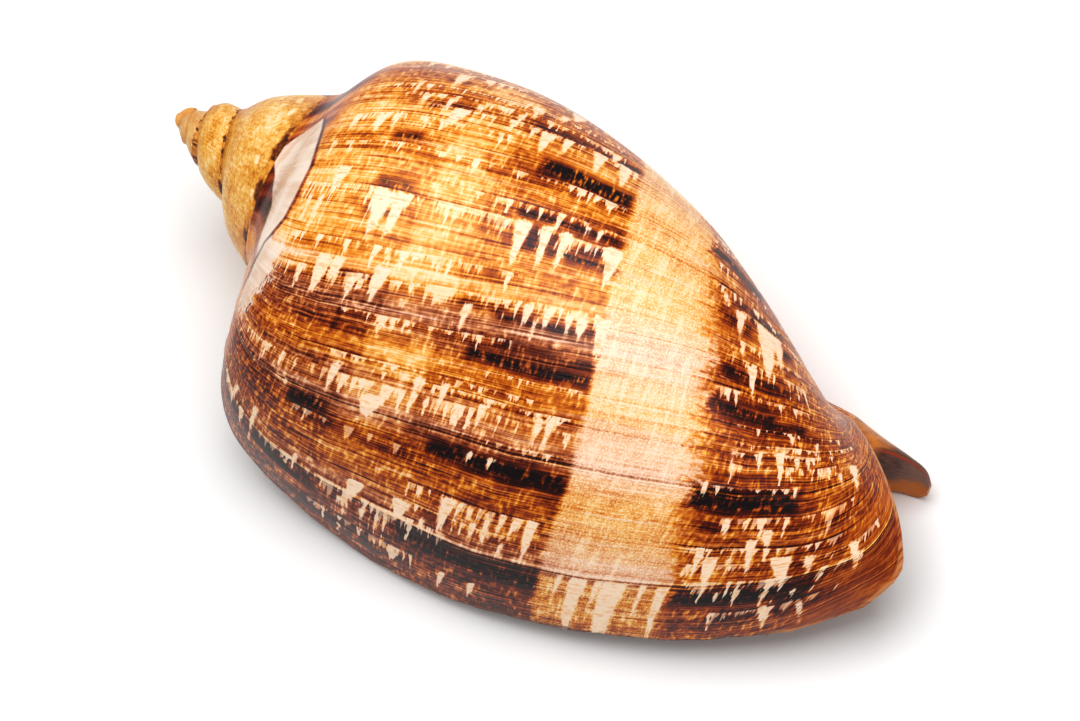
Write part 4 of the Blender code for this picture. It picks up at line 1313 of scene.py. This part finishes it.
def edged_colour(graph, colour):
    """The colour with the lip's edge, dark along the side and paler at the front, and the inside."""
    inside = graph.fact("inside")
    margin = inside.ease(0.03, 0.16) * (graph.lines + graph.blots).ease(0.20, -0.10)
    edge = graph.mix(EDGE_BROWN, EDGE_TAN, graph.row.ease(7.7, 8.3))
    colour = graph.mix(colour, edge, margin * 0.85)
    colour = graph.mix(colour, inner_colour(graph), inside.ease(0.35, 0.75))
    return graph.mix(colour, tongue_colour(graph), graph.fact("tongue"))


def outer_pattern(graph):
    """Tone and gold of the last whorl, and how sooty and how pale its marks are."""
    ragged, on_band, off_band = band_shares(graph)
    level, gold = base_tones(graph, ragged, on_band, off_band)
    band = on_band * (1.0 - off_band)
    by_lip = graph.growth.ease(0.064, 0.052)
    tone = band_grain(graph, level, band)
    tone = fine_net(graph, tone, level, band)
    tone = thin_lines(graph, tone, band)
    tooth, strip = teeth(graph)
    tone = tone - strip * (0.12 + graph.cells * 0.5) + tooth * 0.42
    gold = gold + strip * 0.25 - band * (0.32 - by_lip * 0.5)
    tone, soot = dark_bars(graph, tone)
    tone, tent = pale_tents(graph, tone)
    return tone, gold, soot, (tooth.ease(0.55, 1.0) * 0.85).highest(tent * 0.95)


def shell_material():
    """The glossy shell with its pale band, dark bars, pale tents and fine net."""
    graph = Glaze("shell_glaze")
    lines, growth = graph.lines, graph.growth
    tone, gold, soot, pale_mark = outer_pattern(graph)
    # The spire begins where the growth map has gone one whole turn back.
    on_spire = growth.ease(0.999, 1.001)
    spire_tone, spire_gold = spire_tones(graph)
    tone = tone + (spire_tone - tone) * on_spire
    gold = gold + (spire_gold - gold) * on_spire
    glaze, glaze_line, upper = upper_glaze(graph)
    whorl_top = (1.0 - on_spire) * graph.row.ease(2.05, 1.6)
    tone = tone + (upper + graph.streaks * 0.5 + lines * 0.3 - tone) * whorl_top - glaze_line * 0.42
    colour = outer_colour(graph, tone, gold, on_spire)
    colour = marked_colour(graph, colour, soot, pale_mark * (1.0 - on_spire), glaze)

    shader = graph.shader.inputs
    graph.feed(shader["Base Color"], edged_colour(graph, colour))
    roughness = 0.30 + lines * 0.25 + graph.patches * 0.2 + growth.ease(0.02, 0.0) * 0.15
    graph.feed(shader["Roughness"], roughness)
    shader["Specular IOR Level"].default_value = 0.2
    shader["Coat Weight"].default_value = 0.06
    shader["Coat Roughness"].default_value = 0.12
    height = graph.fine_lines * 0.5 + lines * 0.7 + graph.cells * 0.2
    graph.bump(height, distance=0.00025, strength=0.7)
    return graph.material


skin, extra = build_shell()
volute = make_piece("volute", skin, extra)
volute.data.materials.append(shell_material())
print("triangles", 2 * sum(len(f) for f in skin.faces) + sum(len(f) for f in extra))
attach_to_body(volute, "root")
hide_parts("shell")

# The floor: half its side in metres, and the two pale greys of its paper.
FLOOR_HALF = 3.0
FLOOR_GREYS = ((0.3, (0.93, 0.93, 0.93, 1.0)), (0.7, (0.96, 0.96, 0.96, 1.0)))


def floor_material():
    """Plain pale paper."""
    graph = Graph("pale_floor")
    place = graph.nodes.new("ShaderNodeTexCoord")
    noise = graph.nodes.new("ShaderNodeTexNoise")
    noise.inputs["Scale"].default_value = 14.0
    graph.links.new(place.outputs["Object"], noise.inputs["Vector"])
    graph.feed(graph.shader.inputs["Base Color"], Value(graph, noise.outputs["Fac"]).ramp(FLOOR_GREYS))
    graph.shader.inputs["Roughness"].default_value = 0.8
    return graph.material


floor_mesh = bpy.data.meshes.new("floor")
corners = [(x * FLOOR_HALF, y * FLOOR_HALF, 0.0) for x, y in ((-1, -1), (1, -1), (1, 1), (-1, 1))]
floor_mesh.from_pydata(corners, [], [(0, 1, 2, 3)])
floor = bpy.data.objects.new("floor", floor_mesh)
bpy.context.scene.collection.objects.link(floor)
floor_mesh.materials.append(floor_material())
bpy.context.scene.view_settings.view_transform = "Standard"
bpy.context.scene.view_settings.gamma = 0.88

# The camera, in the coil's own axes: the side that faces it, how far it leans towards the
# front end, its roll, and the point on the axis that it looks at from its distance.
VIEW_TURN = 0.332
VIEW_LEAN = 16.46
VIEW_ROLL = 31.362
VIEW_DROP = 111.3
VIEW_DISTANCE = 954.0
VIEW_LENS = 120.0
VIEW_SENSOR = 36.0
VIEW_SHIFT = (0.0254, -0.0425)


def add_camera():
    """The camera at the photograph's viewing angle."""
    turn, lean, roll = 2.0 * math.pi * VIEW_TURN, math.radians(VIEW_LEAN), math.radians(VIEW_ROLL)
    facing = np.array([math.cos(turn), math.sin(turn), 0.0])
    apex_up = np.array([0.0, 0.0, 1.0])
    towards = math.cos(lean) * facing - math.sin(lean) * apex_up
    front = -(math.sin(lean) * facing + math.cos(lean) * apex_up)
    beside = np.array([-math.sin(turn), math.cos(turn), 0.0])
    right = math.cos(roll) * front + math.sin(roll) * beside
    above = -math.sin(roll) * front + math.cos(roll) * beside
    place = np.array([0.0, 0.0, -VIEW_DROP]) + towards * VIEW_DISTANCE
    turned = lying_axes()
    place = (turned @ place + lying_offset()) * MM
    data = bpy.data.cameras.new("camera")
    data.lens = VIEW_LENS
    data.sensor_width = VIEW_SENSOR
    data.shift_x, data.shift_y = VIEW_SHIFT
    camera = bpy.data.objects.new("camera", data)
    columns = (turned @ right, turned @ above, turned @ towards, place)
    camera.matrix_world = Matrix([*zip(*columns), (0, 0, 0, 1)])
    bpy.context.scene.collection.objects.link(camera)
    bpy.context.scene.camera = camera


# The light: the even white around, and one soft lamp above, in watts and metres.
SKY_STRENGTH = 0.5
LAMP_POWER = 8.2
LAMP_SIDE = 0.8
LAMP_PLACE = (0.05, 0.05, 0.95)
LAMP_AIM = (0.0, 0.0, 0.05)


def add_light():
    """The white surroundings and the lamp."""
    world = bpy.data.worlds.new("studio")
    world.use_nodes = True
    sky = world.node_tree.nodes["Background"].inputs
    sky["Color"].default_value = (1.0, 1.0, 1.0, 1.0)
    sky["Strength"].default_value = SKY_STRENGTH
    bpy.context.scene.world = world
    key = bpy.data.objects.new("key", bpy.data.lights.new("key", "AREA"))
    key.data.energy = LAMP_POWER
    key.data.size = LAMP_SIDE
    key.location = LAMP_PLACE
    key.rotation_euler = (Vector(LAMP_AIM) - key.location).to_track_quat("-Z", "Y").to_euler()
    bpy.context.scene.collection.objects.link(key)


add_camera()
add_light()
